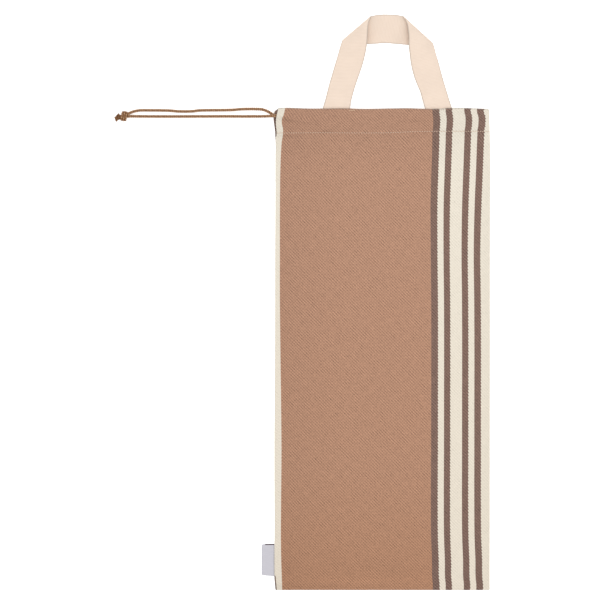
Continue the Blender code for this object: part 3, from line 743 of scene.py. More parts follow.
def makeBag(material):
    sewing = Sewing()
    front = closerAtEnds(cloth["lines"], cloth["lineCrowding"])
    fold = np.linspace(90.0, -90.0, cloth["foldLines"] + 2)[1:-1]
    across = np.r_[front, np.ones(len(fold)), front[::-1]][:, None]
    angle = np.r_[np.full(len(front), 90.0), fold, np.full(len(front), -90.0)][:, None]
    turned = np.radians(90.0 - angle)
    height, thick = bag["height"], cloth["thickness"]

    # side is -1 where the cloth's length runs down the bag, and 1 inside the hem, where it comes back
    def rows(depth, outward=0.0, inset=0.0, side=-1.0):
        depth = np.atleast_1d(depth)
        points = clothPoint(across, angle, depth[None, :], outward, inset)
        centre, radius = foldCentre(depth)
        left = readTable(outlineTable, "frontLeft", depth)
        onFront = np.where(angle == 90.0, points[..., 0], centre)
        onBack = np.where(angle == -90.0, centre - points[..., 0], 0.0)
        u = threadAcross(onFront, depth, left, centre) + turned * radius + onBack
        v = np.broadcast_to(height + side * depth, u.shape)
        return sewing.add(place(points), np.stack([u, v], axis=-1))

    slit, hem = cloth["slitDepth"], cloth["hemDepth"]
    foot = height - cloth["edgeBulge"] - 0.0002  # the bulge of the foot's seam lies below the last row
    bodyDepths = foot - (foot - slit) * closerAtEnds(cloth["bodyRows"], cloth["crowding"])
    insideDepths = foot - (foot - slit) * closerAtEnds(cloth["insideRows"], cloth["crowding"])
    insideDepths = np.minimum(insideDepths, foot - cloth["seamWall"])
    lipDepths = np.array(cloth["lipDepths"])
    hemDepths = np.linspace(cloth["tunnelStarts"], cloth["mouthRoll"], cloth["hemRows"])
    faces = hemFaces(across, angle, hemDepths[None, :])
    dip = -cloth["stitchDip"]
    half = hemStack / 2.0
    turns = np.radians(np.linspace(0.0, 180.0, cloth["rollPoints"]))
    mouthDepths, mouthOut = half - half * np.sin(turns), half * np.cos(turns) - half
    line = {
        "bodyOut": rows(bodyDepths),
        "lipOut": rows(lipDepths),
        "outside": rows(hem, dip),
        "hemOut": rows(hemDepths, faces[3]),
        "mouth": rows(mouthDepths, mouthOut, side=-np.sign(np.cos(turns).round(6))),
        "hemIn": rows(hemDepths, faces[0], side=1.0),
        "lining": rows(hem, dip - 2.0 * thick, side=1.0),
        "between": rows(hem, dip - thick),
        "lipIn": rows(lipDepths, -thick, np.array(cloth["lipInsets"])),
        "bodyIn": rows(insideDepths, -thick, cloth["seamWall"]),
        "tunnelOver": rows(hemDepths, faces[2]),
        "tunnelUnder": rows(hemDepths, faces[1]),
    }
    sewing.patch(np.hstack([line["bodyOut"], line["lipOut"], line["outside"], line["hemOut"], line["mouth"],
                            line["hemIn"][:, ::-1], line["lining"], line["between"], line["lipIn"][:, ::-1],
                            line["bodyIn"][:, ::-1]]))
    sewing.patch(np.hstack([line["tunnelUnder"], line["tunnelOver"][:, ::-1], line["tunnelUnder"][:, :1]]))

    # The sewn edges are rounded, with a groove where the seam itself runs
    share = np.linspace(0.0, 1.0, cloth["edgePoints"] + 2)[1:-1]
    deep, wide = cloth["seamGroove"]
    groove = np.sin(math.pi * share) - deep * np.exp(-((share - 0.5) / wide) ** 2)
    known = np.vstack(sewing.points)

    def between(frontLine, backLine, outwards):
        start, end = known[frontLine][:, None], known[backLine][:, None]
        bulge = np.minimum(cloth["edgeBulge"], 0.25 * np.linalg.norm(end - start, axis=2, keepdims=True))
        points = mix(start, end, share[None, :, None])
        points = points + outwards[:, None] * groove[None, :, None] * bulge
        return sewing.add(points, np.zeros(points.shape[:2] + (2,)))

    middleLine = len(across) // 2
    frontFoot, backFoot = line["bodyOut"][:middleLine, 0], line["bodyOut"][:middleLine:-1, 0]
    outwards = np.tile((-1.0, 0.0, 0.0), (cloth["bodyRows"], 1))
    outwards[0] = (-0.7, -0.7, 0.0)
    sideBetween = between(line["bodyOut"][0], line["bodyOut"][-1], outwards)
    outwards = np.tile((0.0, -1.0, 0.0), (middleLine - 1, 1))
    footBetween = np.vstack([sideBetween[:1], between(frontFoot[1:], backFoot[1:], outwards)])
    sewing.edge(line["bodyOut"][0], sideBetween, line["bodyOut"][-1])
    sewing.edge(frontFoot, footBetween, backFoot)
    sewing.face(frontFoot[-1], *footBetween[-1], backFoot[-1], line["bodyOut"][middleLine, 0])
    frontFoot, backFoot = line["bodyIn"][:middleLine, 0], line["bodyIn"][:middleLine:-1, 0]
    sewing.patch(np.column_stack([line["bodyIn"][0], line["bodyIn"][-1]]))
    sewing.patch(np.column_stack([frontFoot, backFoot]))
    sewing.face(frontFoot[-1], backFoot[-1], line["bodyIn"][middleLine, 0])
    sewing.face(line["bodyOut"][0, -1], *sideBetween[-1], line["bodyOut"][-1, -1], line["bodyIn"][-1, -1],
                line["bodyIn"][0, -1])

    # The raw ends at the slit, round the two mouths of the casing
    for end in (0, -1):
        at = {name: numbers[end] for name, numbers in line.items()}
        outside, seamed, lining = at["outside"][0], at["between"][0], at["lining"][0]
        over, under = at["tunnelOver"], at["tunnelUnder"]
        sewing.patch(np.column_stack([np.r_[at["bodyOut"][-1], at["lipOut"], outside],
                                      np.r_[at["bodyIn"][-1], at["lipIn"], seamed]]))
        sewing.patch(np.column_stack([at["hemOut"], over]))
        sewing.patch(np.column_stack([under, at["hemIn"]]))
        sewing.face(outside, at["hemOut"][0], over[0])
        sewing.face(outside, over[0], under[0], seamed)
        sewing.face(seamed, under[0], at["hemIn"][0], lining)
        rim = [at["hemOut"][-1], *at["mouth"], at["hemIn"][-1]]
        crest = len(rim) // 2 - 1
        for number, (a, b) in enumerate(zip(rim, rim[1:])):
            if number == crest:
                sewing.face(over[-1], a, b, under[-1])
            else:
                sewing.face(over[-1] if number < crest else under[-1], a, b)
    return sewing.piece("folded_bag_cloth", material)


# Cotton twill woven in stripes. The eye sees its slanted ribs, a matt face with a little soft sheen, and
# crisp stripe edges that step along the ribs.
twill = {
    "rib": 0.0029,  # real ribs are half as wide, and too fine to show
    "crossing": 0.3,  # of the ribs' strength, in the fainter ones that cross them
    # each band's colour at the mouth and at the foot, darker towards the foot
    "brown": ("#ac846d", "#a4795e"),
    "cream": ("#dfd7c8", "#d9cfbf"),
    "dark": ("#7b6257", "#725a50"),
    "kneeHeight": 0.157,  # brown and dark change slowly down to here, and then faster
    "kneeShare": 0.42,
    "pulls": ((28.0, 2.0, 0.0012), (260.0, 1.0, 0.0007)),  # scale, detail and reach of the threads' wander
    "patches": {"scale": 110.0, "strength": (0.1, 1.4)},
    "yarns": ((700.0, 90.0, 1.0), (90.0, 700.0, 1.0)),  # fine across each set of yarns, and long along it
    "grain": 480.0,
    "unevenness": (1.2, 1.4),  # the strength of single yarns and of the grain
    "bump": (0.5, 0.00025),
    # how strongly the ribs show, and where the left strip's own strength ends
    "contrast": {"brown": 0.26, "cream": 0.08, "leftStrip": 0.04, "dark": 0.34, "stripEnds": 0.1},
    # from the left seam across the front, round the fold and over the back
    "creamBands": ((-0.010, 0.0067), (0.20375, 0.299), (0.497, 0.600)),
    "darkBands": ((0.20375, 0.2125), (0.2203, 0.2284), (0.2437, 0.2519), (0.2597, 0.2684),
                  (0.497, 0.5058), (0.5136, 0.5216), (0.537, 0.5452), (0.553, 0.562)),
    "steps": (0.00015, 0.00042),  # of a band's left edge and its right edge, along the ribs
    # under the label the left seam's edge is darker brown, this wide and up to this height
    "turnedEdge": {"colour": "#6a5546", "width": 0.0020, "height": 0.019},
    # painted shade along the mouth's folded edge: its colour, its strength, how much the ribs speckle it,
    # and where it fades
    "mouthFoldShade": {"colour": "#8e8880", "wear": 0.42, "speckle": 0.6, "fades": (0.0006, 0.0018)},
    # painted light and shade on the front: where each change starts and ends, and how light it is painted
    # there
    "hem": {"light": 1.010, "blur": 0.002},
    "underHem": {"light": 0.936, "ends": 0.078},
    "fold": {"middle": 0.2837, "fades": (0.014, 0.024), "starts": (0.265, 0.272), "light": 0.972},
    "side": {"width": 0.09, "light": 0.956, "middleLight": 1.012},
    "stripFootShade": {"height": 0.024, "light": 0.92},
}


def makeTwill():
    material, add = newMaterial("wovenCottonTwill")
    threads = add("UVMap", uv_map="threads")
    pull = threads
    for scale, detail, reach in twill["pulls"]:
        noise = add("TexNoise", Vector=threads, Scale=scale, Detail=detail)
        pull = add("VectorMath", noise.outputs["Color"], (reach, reach, 0.0), pull,
                   operation="MULTIPLY_ADD")
    pulled = add("SeparateXYZ", Vector=pull).outputs
    u, v = add("SeparateXYZ", Vector=threads).outputs[:2]

    # ribs run down to the right, one rib to a turn, and fainter ones cross them
    waves = []
    for operation in ("ADD", "SUBTRACT"):
        slope = add("Math", pulled[0], pulled[1], operation=operation)
        turning = add("Math", slope, 2.0 * math.pi / (twill["rib"] * math.sqrt(2.0)), operation="MULTIPLY")
        waves.append(add("Math", turning, operation="SINE"))
    rib, crossing = waves

    # ribs show more in some places than in others, and single yarns are thicker or paler
    patches = add("TexNoise", Vector=threads, Scale=twill["patches"]["scale"], Detail=3.0)
    patchy = add("MapRange", patches, *noiseRange, *twill["patches"]["strength"])
    level = add("Math", rib, patchy, operation="MULTIPLY")
    yarns = []
    for finer in twill["yarns"]:
        spots = add("VectorMath", threads, finer, operation="MULTIPLY")
        yarns.append(add("TexNoise", Vector=spots, Scale=1.0, Detail=1.0))
    woven = add("Math", yarns[0], yarns[1], operation="ADD")
    grain = add("TexNoise", Vector=threads, Scale=twill["grain"], Detail=1.0)
    parts = zip((crossing, woven, grain), (twill["crossing"], *twill["unevenness"]))
    for part, strength in parts:
        level = add("Math", part, strength, level, operation="MULTIPLY_ADD")
    # noise is 0.5 on average, so the two yarns and the grain together lift the level by 1.9
    level = add("Math", level, 1.9, operation="SUBTRACT")

    # the stripes: each band's edges step along the ribs
    edges = [add("Math", rib, step, u, operation="MULTIPLY_ADD") for step in twill["steps"]]
    masks = {}
    for name in ("cream", "dark"):
        mask = 0.0
        for low, high in twill[f"{name}Bands"]:
            past = add("Math", edges[0], low, operation="GREATER_THAN")
            short = add("Math", edges[low > 0.0], high, operation="LESS_THAN")
            mask = add("Math", past, short, mask, operation="MULTIPLY_ADD")
        masks[name] = mask
    height, knee, kneeShare = bag["height"], twill["kneeHeight"], twill["kneeShare"]
    down = add("MapRange", v, height, 0.0)
    upper = add("MapRange", v, height, knee, 0.0, kneeShare)
    lower = add("MapRange", v, knee, 0.0, 0.0, 1.0 - kneeShare)
    kneed = add("Math", upper, lower, operation="ADD")
    colours = {}
    for name, share in (("brown", kneed), ("cream", down), ("dark", kneed)):
        mouth, foot = (linearColour(hexCode) for hexCode in twill[name])
        colours[name] = add("Mix", share, data_type="RGBA", _6=mouth, _7=foot).outputs[2]
    striped = colours["brown"]
    for name, mask in masks.items():
        striped = add("Mix", mask, data_type="RGBA", _6=striped, _7=colours[name]).outputs[2]
    turnedEdge = twill["turnedEdge"]
    edgeSide = add("Math", pulled[0], turnedEdge["width"], operation="LESS_THAN")
    edgeFoot = add("Math", v, turnedEdge["height"], operation="LESS_THAN")
    onEdge = add("Math", edgeSide, edgeFoot, operation="MULTIPLY")
    striped = add("Mix", onEdge, data_type="RGBA", _6=striped,
                  _7=linearColour(turnedEdge["colour"])).outputs[2]

    # cream yarns hide the ribs, most of all in the tighter strip at the left seam, and dark ones show them
    strengths = twill["contrast"]
    contrast = add("Math", u, strengths["stripEnds"], operation="LESS_THAN")
    contrast = add("Mix", contrast, data_type="FLOAT", _2=strengths["cream"], _3=strengths["leftStrip"])
    contrast = add("Mix", masks["cream"], data_type="FLOAT", _2=strengths["brown"], _3=contrast)
    contrast = add("Mix", masks["dark"], data_type="FLOAT", _2=contrast, _3=strengths["dark"])
    light = add("Math", level, contrast, 1.0, operation="MULTIPLY_ADD")

    # painted light and shade: the casing is painted a little lighter than the cloth just under it, and both
    # are painted darker than the body, fading out down the slope under the hem
    hem, underHem, fold = height - cloth["hemDepth"], twill["underHem"], twill["fold"]
    blur = twill["hem"]["blur"]
    paintedHemLight = add("MapRange", v, hem - blur, hem + blur, 1.0, twill["hem"]["light"])
    paintedSlopeShade = add("MapRange", v, height - underHem["ends"], hem, 1.0, underHem["light"])
    shaded = add("Math", paintedHemLight, paintedSlopeShade, operation="MULTIPLY")
    # neither shows along the fold
    fromFold = add("Math", u, fold["middle"], operation="SUBTRACT")
    fromFold = add("Math", fromFold, operation="ABSOLUTE")
    atFold = add("MapRange", fromFold, *fold["fades"], 1.0, 0.0)
    shaded = add("Mix", atFold, data_type="FLOAT", _2=shaded, _3=1.0)
    # painted shade in the creases and painted light on the ridges
    crease = add("Attribute", attribute_name="creaseShade").outputs["Fac"]
    paintedCreaseShade = add("Math", 1.0, crease, operation="SUBTRACT")
    # painted shade: the fold is a little darker, and so are the brown at the left side and the foot of its
    # strip;
    # the rest of the front is painted a little lighter
    paintedFoldShade = add("MapRange", u, *fold["starts"], 1.0, fold["light"])
    side, foot = twill["side"], twill["stripFootShade"]
    sideways = add("MapRange", u, 0.0, side["width"], side["light"], side["middleLight"])
    stripFootShade = add("MapRange", v, 0.0, foot["height"], foot["light"], 1.0)
    onStrip = add("Math", u, weave["left"], operation="LESS_THAN")
    offStrip = add("Math", u, weave["left"], operation="GREATER_THAN")
    sideways = add("Math", sideways, onStrip, operation="MAXIMUM")
    stripFootShade = add("Math", stripFootShade, offStrip, operation="MAXIMUM")
    for factor in (shaded, paintedCreaseShade, paintedFoldShade, sideways, stripFootShade):
        light = add("Math", light, factor, operation="MULTIPLY")
    colour = add("VectorMath", striped, operation="SCALE", Scale=light)

    # painted shade, greyish, along the mouth's folded edge, speckled by the ribs
    fromMouth = add("Math", v, height, operation="SUBTRACT")
    fromMouth = add("Math", fromMouth, operation="ABSOLUTE")
    mouthFoldShade = twill["mouthFoldShade"]
    paintedShadeAmount = add("MapRange", fromMouth, *mouthFoldShade["fades"], mouthFoldShade["wear"], 0.0)
    speckled = add("Math", rib, mouthFoldShade["speckle"], 1.0, operation="MULTIPLY_ADD")
    paintedShadeAmount = add("Math", paintedShadeAmount, speckled, operation="MULTIPLY")
    colour = add("Mix", paintedShadeAmount, data_type="RGBA", _6=colour, _7=linearColour(mouthFoldShade["colour"])).outputs[2]
    finishMaterial(add, level, *twill["bump"], Base_Color=colour, Roughness=0.9, Sheen_Weight=0.1,
                   Sheen_Roughness=0.6, Specular_IOR_Level=0.2)
    return material


twillMaterial = makeTwill()
bagPiece = makeBag(twillMaterial)
print("bag sewn")


# A strap is a row of lines across it: each has an inner end, an outer end, and the way its face looks
strapProfile = {
    "across": (-1.0, -0.985, -0.94, -0.8, -0.5, -0.2, 0.2, 0.5, 0.8, 0.94, 0.985, 1.0, 0.985, 0.94, 0.8,
               0.5, 0.2, -0.2, -0.5, -0.8, -0.94, -0.985),
    "up": (0.0, 0.62, 0.93, 1.0, 1.0, 1.0, 1.0, 1.0, 1.0, 0.93, 0.62, 0.0, -0.62, -0.93, -1.0, -1.0, -1.0,
           -1.0, -1.0, -1.0, -0.93, -0.62),
}


def strapPiece(name, inner, outer, normals, lengths, size, paintedCreaseShade, material):
    (alongInner, alongOuter), (width, thickness) = lengths, size
    side, up = np.array(strapProfile["across"]), np.array(strapProfile["up"])
    middles, halves = (inner + outer) / 2.0, (inner - outer) / 2.0
    points = middles[:, None] + halves[:, None] * side[None, :, None]
    points = points + normals[:, None] * up[None, :, None] * thickness / 2.0
    along = (alongInner + alongOuter)[:, None] / 2.0
    along = along + (alongInner - alongOuter)[:, None] / 2.0 * side[None, :]
    across = np.broadcast_to(side[None, :] * width / 2.0, along.shape)
    grid = np.arange(points.shape[0] * points.shape[1]).reshape(points.shape[:2])
    faces = quads(np.hstack([grid, grid[:, :1]])).tolist() + [grid[0].tolist(), grid[-1][::-1].tolist()]
    piece = newPiece(name, points.reshape(-1, 3), faces, material)
    threads = np.stack([across, along], axis=-1).reshape(-1, 2)
    corners = np.zeros(len(piece.data.loops), np.int32)
    piece.data.loops.foreach_get("vertex_index", corners)
    piece.data.uv_layers.new(name="threads").data.foreach_set("uv", threads[corners].ravel())
    # the fold attribute is painted shade: more where the strap tilts from flat, and on the cross run beside
    # the folds
    givePoints(piece, "fold", np.repeat(np.maximum(1.0 - np.abs(normals[:, 2]), paintedCreaseShade), len(side)))
    faceOut(piece.data)
    return piece


# One length of webbing, folded slantwise at both upper corners. Its ends are sewn under the front hem.
handle = {
    "width": 0.035,
    "thickness": 0.0014,
    "runHeight": 0.00075,
    "legHeight": 0.00265,
    "hemClear": 0.00047,
    "legLevel": 0.004,  # where a leg starts to come down from the mouth, by rise over it
    "legFall": 0.070,  # and where it is down
    "linesPerLeg": 96,
    "runLines": 44,
    "foldSteps": 16,
    "shadeReach": 0.007,  # how far the painted shade beside the folds reaches along the cross run
    "shade": 0.4,
    "slipShare": 1.15,  # how far the webbing slides along a slanted fold, in turns of the fold
    # each leg's outer and inner edges from the left seam, by rise over the mouth. The fold runs from the
    # outer edge, at cornerRise, to the top of the inner edge.
    "left": {
        "rise": (-0.0300, 0.0016, 0.0107, 0.0211, 0.0315, 0.0420, 0.0524, 0.0628, 0.0732, 0.0784, 0.0837,
                 0.0889, 0.0967, 0.1045, 0.1097, 0.1149, 0.1179),
        "outer": (0.0540, 0.0629, 0.0656, 0.0682, 0.0709, 0.0739, 0.0769, 0.0801, 0.0831, 0.0845, 0.0862,
                  0.0880, 0.0890, 0.0899, 0.0908, 0.0917, 0.0923),
        "inner": (0.0898, 0.0979, 0.0996, 0.1024, 0.1056, 0.1092, 0.1128, 0.1158, 0.1181, 0.1190, 0.1196,
                  0.1202, 0.1206, 0.1210, 0.1217, 0.1232, 0.1247),
        "cornerRise": 0.0857,
    },
    "right": {
        "rise": (-0.0300, 0.0016, 0.0107, 0.0211, 0.0315, 0.0420, 0.0524, 0.0628, 0.0732, 0.0784, 0.0837,
                 0.0889, 0.0967, 0.1045, 0.1097, 0.1149, 0.1180),
        "outer": (0.2382, 0.2292, 0.2264, 0.2233, 0.2203, 0.2174, 0.2148, 0.2120, 0.2089, 0.2076, 0.2059,
                  0.2043, 0.2033, 0.2023, 0.2013, 0.2003, 0.1996),
        "inner": (0.2017, 0.1943, 0.1915, 0.1887, 0.1844, 0.1807, 0.1780, 0.1762, 0.1749, 0.1742, 0.1740,
                  0.1740, 0.1736, 0.1728, 0.1717, 0.1696, 0.1669),
        "cornerRise": 0.0820,
    },
    "liftTable": {
        "rise": (0.0, 0.035, 0.058, 0.080, 0.096, 0.108, 0.1179),
        "lift": (0.0, 0.0, 0.0022, 0.0058, 0.0066, 0.0036, 0.0),
    },
    # the cross run's edges, off a straight line from fold to fold
    "runTable": {
        "share": (0.0, 0.10, 0.28, 0.38, 0.47, 0.57, 0.66, 0.80, 0.95, 1.0),
        "lower": (0.0, -0.0017, -0.0034, -0.0025, -0.0015, -0.0020, -0.0025, -0.0030, -0.0008, 0.0),
        "upper": (0.0, 0.0010, 0.0016, 0.0018, 0.0018, 0.0017, 0.0016, 0.0014, 0.0004, 0.0),
    },
}


def liningHeight(x, depth):
    across = acrossAt(x, depth)
    faces = hemFaces(across, np.full_like(across, 90.0), np.minimum(depth, cloth["tunnelStarts"]))
    return frontHeight(across, depth) + faces[0]


# Lines across one leg, from its end up to its fold and round it: inner points, outer points and normals
def handleSide(edges):
    share = np.linspace(0.0, 1.0, handle["linesPerLeg"])
    outerRise = mix(edges["rise"][0], edges["cornerRise"], share)
    # the lines start to slant a third of the way up, and lie along the fold at the top
    innerRise = outerRise + ease((share - 0.3) / 0.7) * (edges["rise"][-1] - edges["cornerRise"])
    lines = []
    for name, rise in (("inner", innerRise), ("outer", outerRise)):
        x = readTable(edges, name, rise)
        depth = np.clip(-rise, 0.0, cloth["hemDepth"])
        inside = liningHeight(x, depth) - handle["hemClear"] - handle["thickness"] / 2.0
        fall = ease((rise - handle["legLevel"]) / (handle["legFall"] - handle["legLevel"]))
        z = mix(inside, handle["legHeight"], fall)
        if name == "inner":
            z = z + readTable(handle["liftTable"], "lift", rise)
        lines.append(np.stack([x, bag["height"] + rise, z], axis=1))
    inner, outer = lines
    side = 1.0 if inner[0, 0] > outer[0, 0] else -1.0
    along = np.gradient((inner + outer) / 2.0, axis=0)
    normals = np.cross(inner - outer, along) * side
    normals /= np.linalg.norm(normals, axis=1)[:, None]

    crease = inner[-1] - outer[-1]
    crease /= np.linalg.norm(crease)
    outward = np.array([-crease[1], crease[0], 0.0]) * side
    up = np.array([0.0, 0.0, 1.0])
    bend = (handle["legHeight"] - handle["runHeight"]) / 2.0
    turn = np.linspace(0.0, math.pi, handle["foldSteps"] + 1)[1:, None]
    moved = crease * handle["slipShare"] * bend * turn + outward * bend * np.sin(turn)
    moved = moved + up * bend * (np.cos(turn) - 1.0)
    normals = np.vstack([normals, outward * np.sin(turn) + up * np.cos(turn)])
    return np.vstack([inner, inner[-1] + moved]), np.vstack([outer, outer[-1] + moved]), normals


def makeHandle(material):
    left, right = handleSide(handle["left"]), handleSide(handle["right"])
    share = np.linspace(0.0, 1.0, handle["runLines"] + 2)[1:-1, None]
    edges = []
    for leftEdge, rightEdge, name in ((left[0], right[0], "upper"), (left[1], right[1], "lower")):
        run = mix(leftEdge[-1], rightEdge[-1], share)
        run[:, 1:2] += readTable(handle["runTable"], name, share)
        edges.append(np.vstack([leftEdge, run, rightEdge[::-1]]))
    inner, outer = edges
    normals = np.vstack([left[2], np.tile((0.0, 0.0, -1.0), (len(share), 1)), right[2][::-1]])
    lengths = lengthAlong(inner), lengthAlong(outer)
    # painted shade on the cross run, fading away from each fold
    fromFold = np.minimum(share, 1.0 - share)[:, 0] * np.linalg.norm(left[0][-1] - right[0][-1])
    paintedCreaseShade = handle["shade"] * np.exp(-fromFold / handle["shadeReach"])
    paintedCreaseShade = np.r_[np.zeros(len(left[2])), paintedCreaseShade, np.zeros(len(right[2]))]
    piece = strapPiece("folded_webbing_handle", place(inner), place(outer), normals, lengths,
                       (handle["width"], handle["thickness"]), paintedCreaseShade, material)
    return piece, (lengths[0][-1] + lengths[1][-1]) / 2.0


# Undyed cotton webbing: matt, with fine ribs straight across it. Its edges and folds get greyer painted
# shade.
webbing = {
    "colour": "#ecdaca",
    "shade": "#e3cebc",
    "edgeShade": "#aea296",
    "wear": 0.75,  # strength of the painted shade's colour, along the edges and folds
    "edgeShadeFrom": (0.0160, 0.0172),  # where the painted edge shade starts, from the middle
    "rib": 0.0019,  # real ribs are about 1 mm
    "warp": 0.0014,
    "wander": {"scale": 60.0, "reach": 0.0012},
    "yarns": (90.0, 500.0, 1.0),
    "strengths": (0.35, 1.6),  # of the warp and of single yarns
    "clouds": {"scale": 40.0, "light": (0.97, 1.02)},
    "bump": (0.4, 0.0002),
}


def makeWebbing():
    material, add = newMaterial("wovenCottonWebbing")
    threads = add("UVMap", uv_map="threads")
    across, along = add("SeparateXYZ", Vector=threads).outputs[:2]
    wander = add("TexNoise", Vector=threads, Scale=webbing["wander"]["scale"], Detail=1.0)
    pulled = add("Math", wander, webbing["wander"]["reach"], along, operation="MULTIPLY_ADD")
    waves = []
    for spot, pitch in ((pulled, webbing["rib"]), (across, webbing["warp"])):
        turning = add("Math", spot, 2.0 * math.pi / pitch, operation="MULTIPLY")
        waves.append(add("Math", turning, operation="SINE"))
    rib, warp = waves
    spots = add("VectorMath", threads, webbing["yarns"], operation="MULTIPLY")
    yarns = add("TexNoise", Vector=spots, Scale=1.0, Detail=2.0)
    level = rib
    for part, strength in zip((warp, yarns), webbing["strengths"]):
        level = add("Math", part, strength, level, operation="MULTIPLY_ADD")
    blend = add("MapRange", level, -1.0, 2.6)
    clouds = add("TexNoise", Vector=threads, Scale=webbing["clouds"]["scale"], Detail=2.0)
    uneven = add("MapRange", clouds, *noiseRange, *webbing["clouds"]["light"])
    colour = add("Mix", blend, data_type="RGBA", _6=linearColour(webbing["shade"]),
                 _7=linearColour(webbing["colour"])).outputs[2]
    colour = add("VectorMath", colour, operation="SCALE", Scale=uneven)
    # painted shade, greyer, along the edges, on the tilted parts of the folds, and on the cross run beside
    # the folds
    sideways = add("Math", across, operation="ABSOLUTE")
    edgeShading = add("MapRange", sideways, *webbing["edgeShadeFrom"])
    turned = add("Attribute", attribute_name="fold").outputs["Fac"]
    paintedShadeAmount = add("Math", edgeShading, turned, operation="MAXIMUM")
    paintedShadeAmount = add("Math", paintedShadeAmount, webbing["wear"], operation="MULTIPLY")
    colour = add("Mix", paintedShadeAmount, data_type="RGBA", _6=colour, _7=linearColour(webbing["edgeShade"])).outputs[2]
    finishMaterial(add, level, *webbing["bump"], Base_Color=colour, Roughness=0.9, Sheen_Weight=0.1,
                   Sheen_Roughness=0.6, Specular_IOR_Level=0.2)
    return material


webbingMaterial = makeWebbing()
handlePiece, handleLength = makeHandle(webbingMaterial)
print(f"handle folded from {handleLength:.3f} m of webbing")

# The side label is a short folded ribbon, caught in the left seam
label = {
    "reach": 0.0166,
    "inSeam": 0.0002,  # between the ribbon and the seam's edge
    "foot": 0.0190,
    "height": 0.0414,
    "sheet": 0.0007,
    "gap": 0.0004,
    "footSlope": 0.0014,
    "footDrop": 0.0007,  # of its soft lower corner at the ribbon's fold
    "cornerDrop": 0.0013,  # and of the upper one
    "footReach": 0.04,  # how far each corner's softness goes, in ribbon widths
    "cornerReach": 0.12,
    "wave": 0.0003,  # how far its front bulges
    "lines": 12,  # over each layer
    "foldLines": 11,
}


def makeLabel(material):
    right = float(readTable(outlineTable, "frontLeft", bag["height"] - label["foot"])) - label["inSeam"]
    bend, lines = (label["gap"] + label["sheet"]) / 2.0, label["lines"]
    start = right - label["reach"] + bend + label["sheet"] / 2.0
    flat = np.linspace(right, start, lines)
    turn = np.radians(np.linspace(90.0, 270.0, label["foldLines"]))[1:-1]
    level, none = np.ones(lines), np.zeros(lines)
    x = np.r_[flat, start + bend * np.cos(turn), flat[::-1]]
    z = np.r_[2.0 * bend * level, bend + bend * np.sin(turn), none] + label["sheet"] / 2.0
    normals = np.zeros((len(x), 3))
    normals[:, 0] = np.r_[none, np.cos(turn), none]
    normals[:, 2] = np.r_[level, np.sin(turn), -level]
    share = (x - x.min()) / (x.max() - x.min())
    foot = label["foot"] - label["footSlope"] * (share - 0.5)
    foot = foot + label["footDrop"] * np.exp(-share / label["footReach"])
    head = label["foot"] + label["height"] - label["cornerDrop"] * np.exp(-share / label["cornerReach"])
    along = lengthAlong(np.stack([x, z], axis=1))
    z = z + label["wave"] * np.r_[level, np.zeros(len(turn)), none] * np.sin(math.pi * share)
    low, high = (np.stack([x, y, z], axis=1) for y in (foot, head))
    piece = strapPiece("folded_side_label", place(high), place(low), normals, (along, along),
                       (label["height"], label["sheet"]), 0.0, material)
    return piece, along[-1]


# Polyester satin ribbon: smooth, with a soft shine, very fine lines across, and a dark painted shadow along
# its top edge near the seam, between its two layers
satin = {
    "colour": "#bebcc3",
    # the painted shadow between the ribbon's two layers, along its top edge
    "edge": "#3c2530",
    "shadowWidth": 0.0014,
    "shadowLength": 0.0118,
    "lines": (1400.0, 120.0, 1.0),
    "light": (0.96, 1.04),
    "bump": (0.25, 0.0001),
}


def makeSatin():
    material, add = newMaterial("polyesterSatinRibbon")
    threads = add("UVMap", uv_map="threads")
    across, along = add("SeparateXYZ", Vector=threads).outputs[:2]
    spots = add("VectorMath", threads, satin["lines"], operation="MULTIPLY")
    lines = add("TexNoise", Vector=spots, Scale=1.0, Detail=2.0)
    fine = add("MapRange", lines, *noiseRange, *satin["light"])
    # painted shadow along the top edge of the upper layer, near the seam
    edge = add("Math", across, label["height"] / 2.0 - satin["shadowWidth"], operation="GREATER_THAN")
    nearSeam = add("Math", along, satin["shadowLength"], operation="LESS_THAN")
    edge = add("Math", edge, nearSeam, operation="MULTIPLY")
    colour = add("Mix", edge, data_type="RGBA", _6=linearColour(satin["colour"]),
                 _7=linearColour(satin["edge"])).outputs[2]
    colour = add("VectorMath", colour, operation="SCALE", Scale=fine)
    finishMaterial(add, lines, *satin["bump"], Base_Color=colour, Roughness=0.5, Specular_IOR_Level=0.35)
    return material


satinMaterial = makeSatin()
labelPiece, labelLength = makeLabel(satinMaterial)
print("label folded")


# The drawstring's stretch inside the casing, from the front strand round the fold to the back strand
casingCord = {
    "radius": 0.00135,
    "front": (0.0098, 0.268),  # where its straight stretch starts and ends, from the left seam
    "back": (0.268, 0.0060),
    "steps": 70,
    "foldSteps": 13,
    "ringStep": 0.00063,
}


def makeHemCord():
    steps = casingCord["steps"]
    fold = np.linspace(90.0, -90.0, casingCord["foldSteps"])
    angle = np.r_[np.full(steps, 90.0), fold, np.full(steps, -90.0)]
    depth = mix(*cloth["cordDepths"], (90.0 - angle) / 180.0)
    front = acrossAt(np.linspace(*casingCord["front"], steps), depth[:steps])
    back = acrossAt(np.linspace(*casingCord["back"], steps), depth[-steps:], "backLeft")
    across = np.r_[front, np.ones(len(fold)), back]
    faces = hemFaces(across, angle, depth)
    route = smoothRoute(place(clothPoint(across, angle, depth, (faces[1] + faces[2]) / 2.0)),
                        casingCord["ringStep"])
    return cordPiece("casing_cord_braid", [braidedTube(route, casingCord["radius"])])


hemCord = makeHemCord()
print("cord laid in its casing")

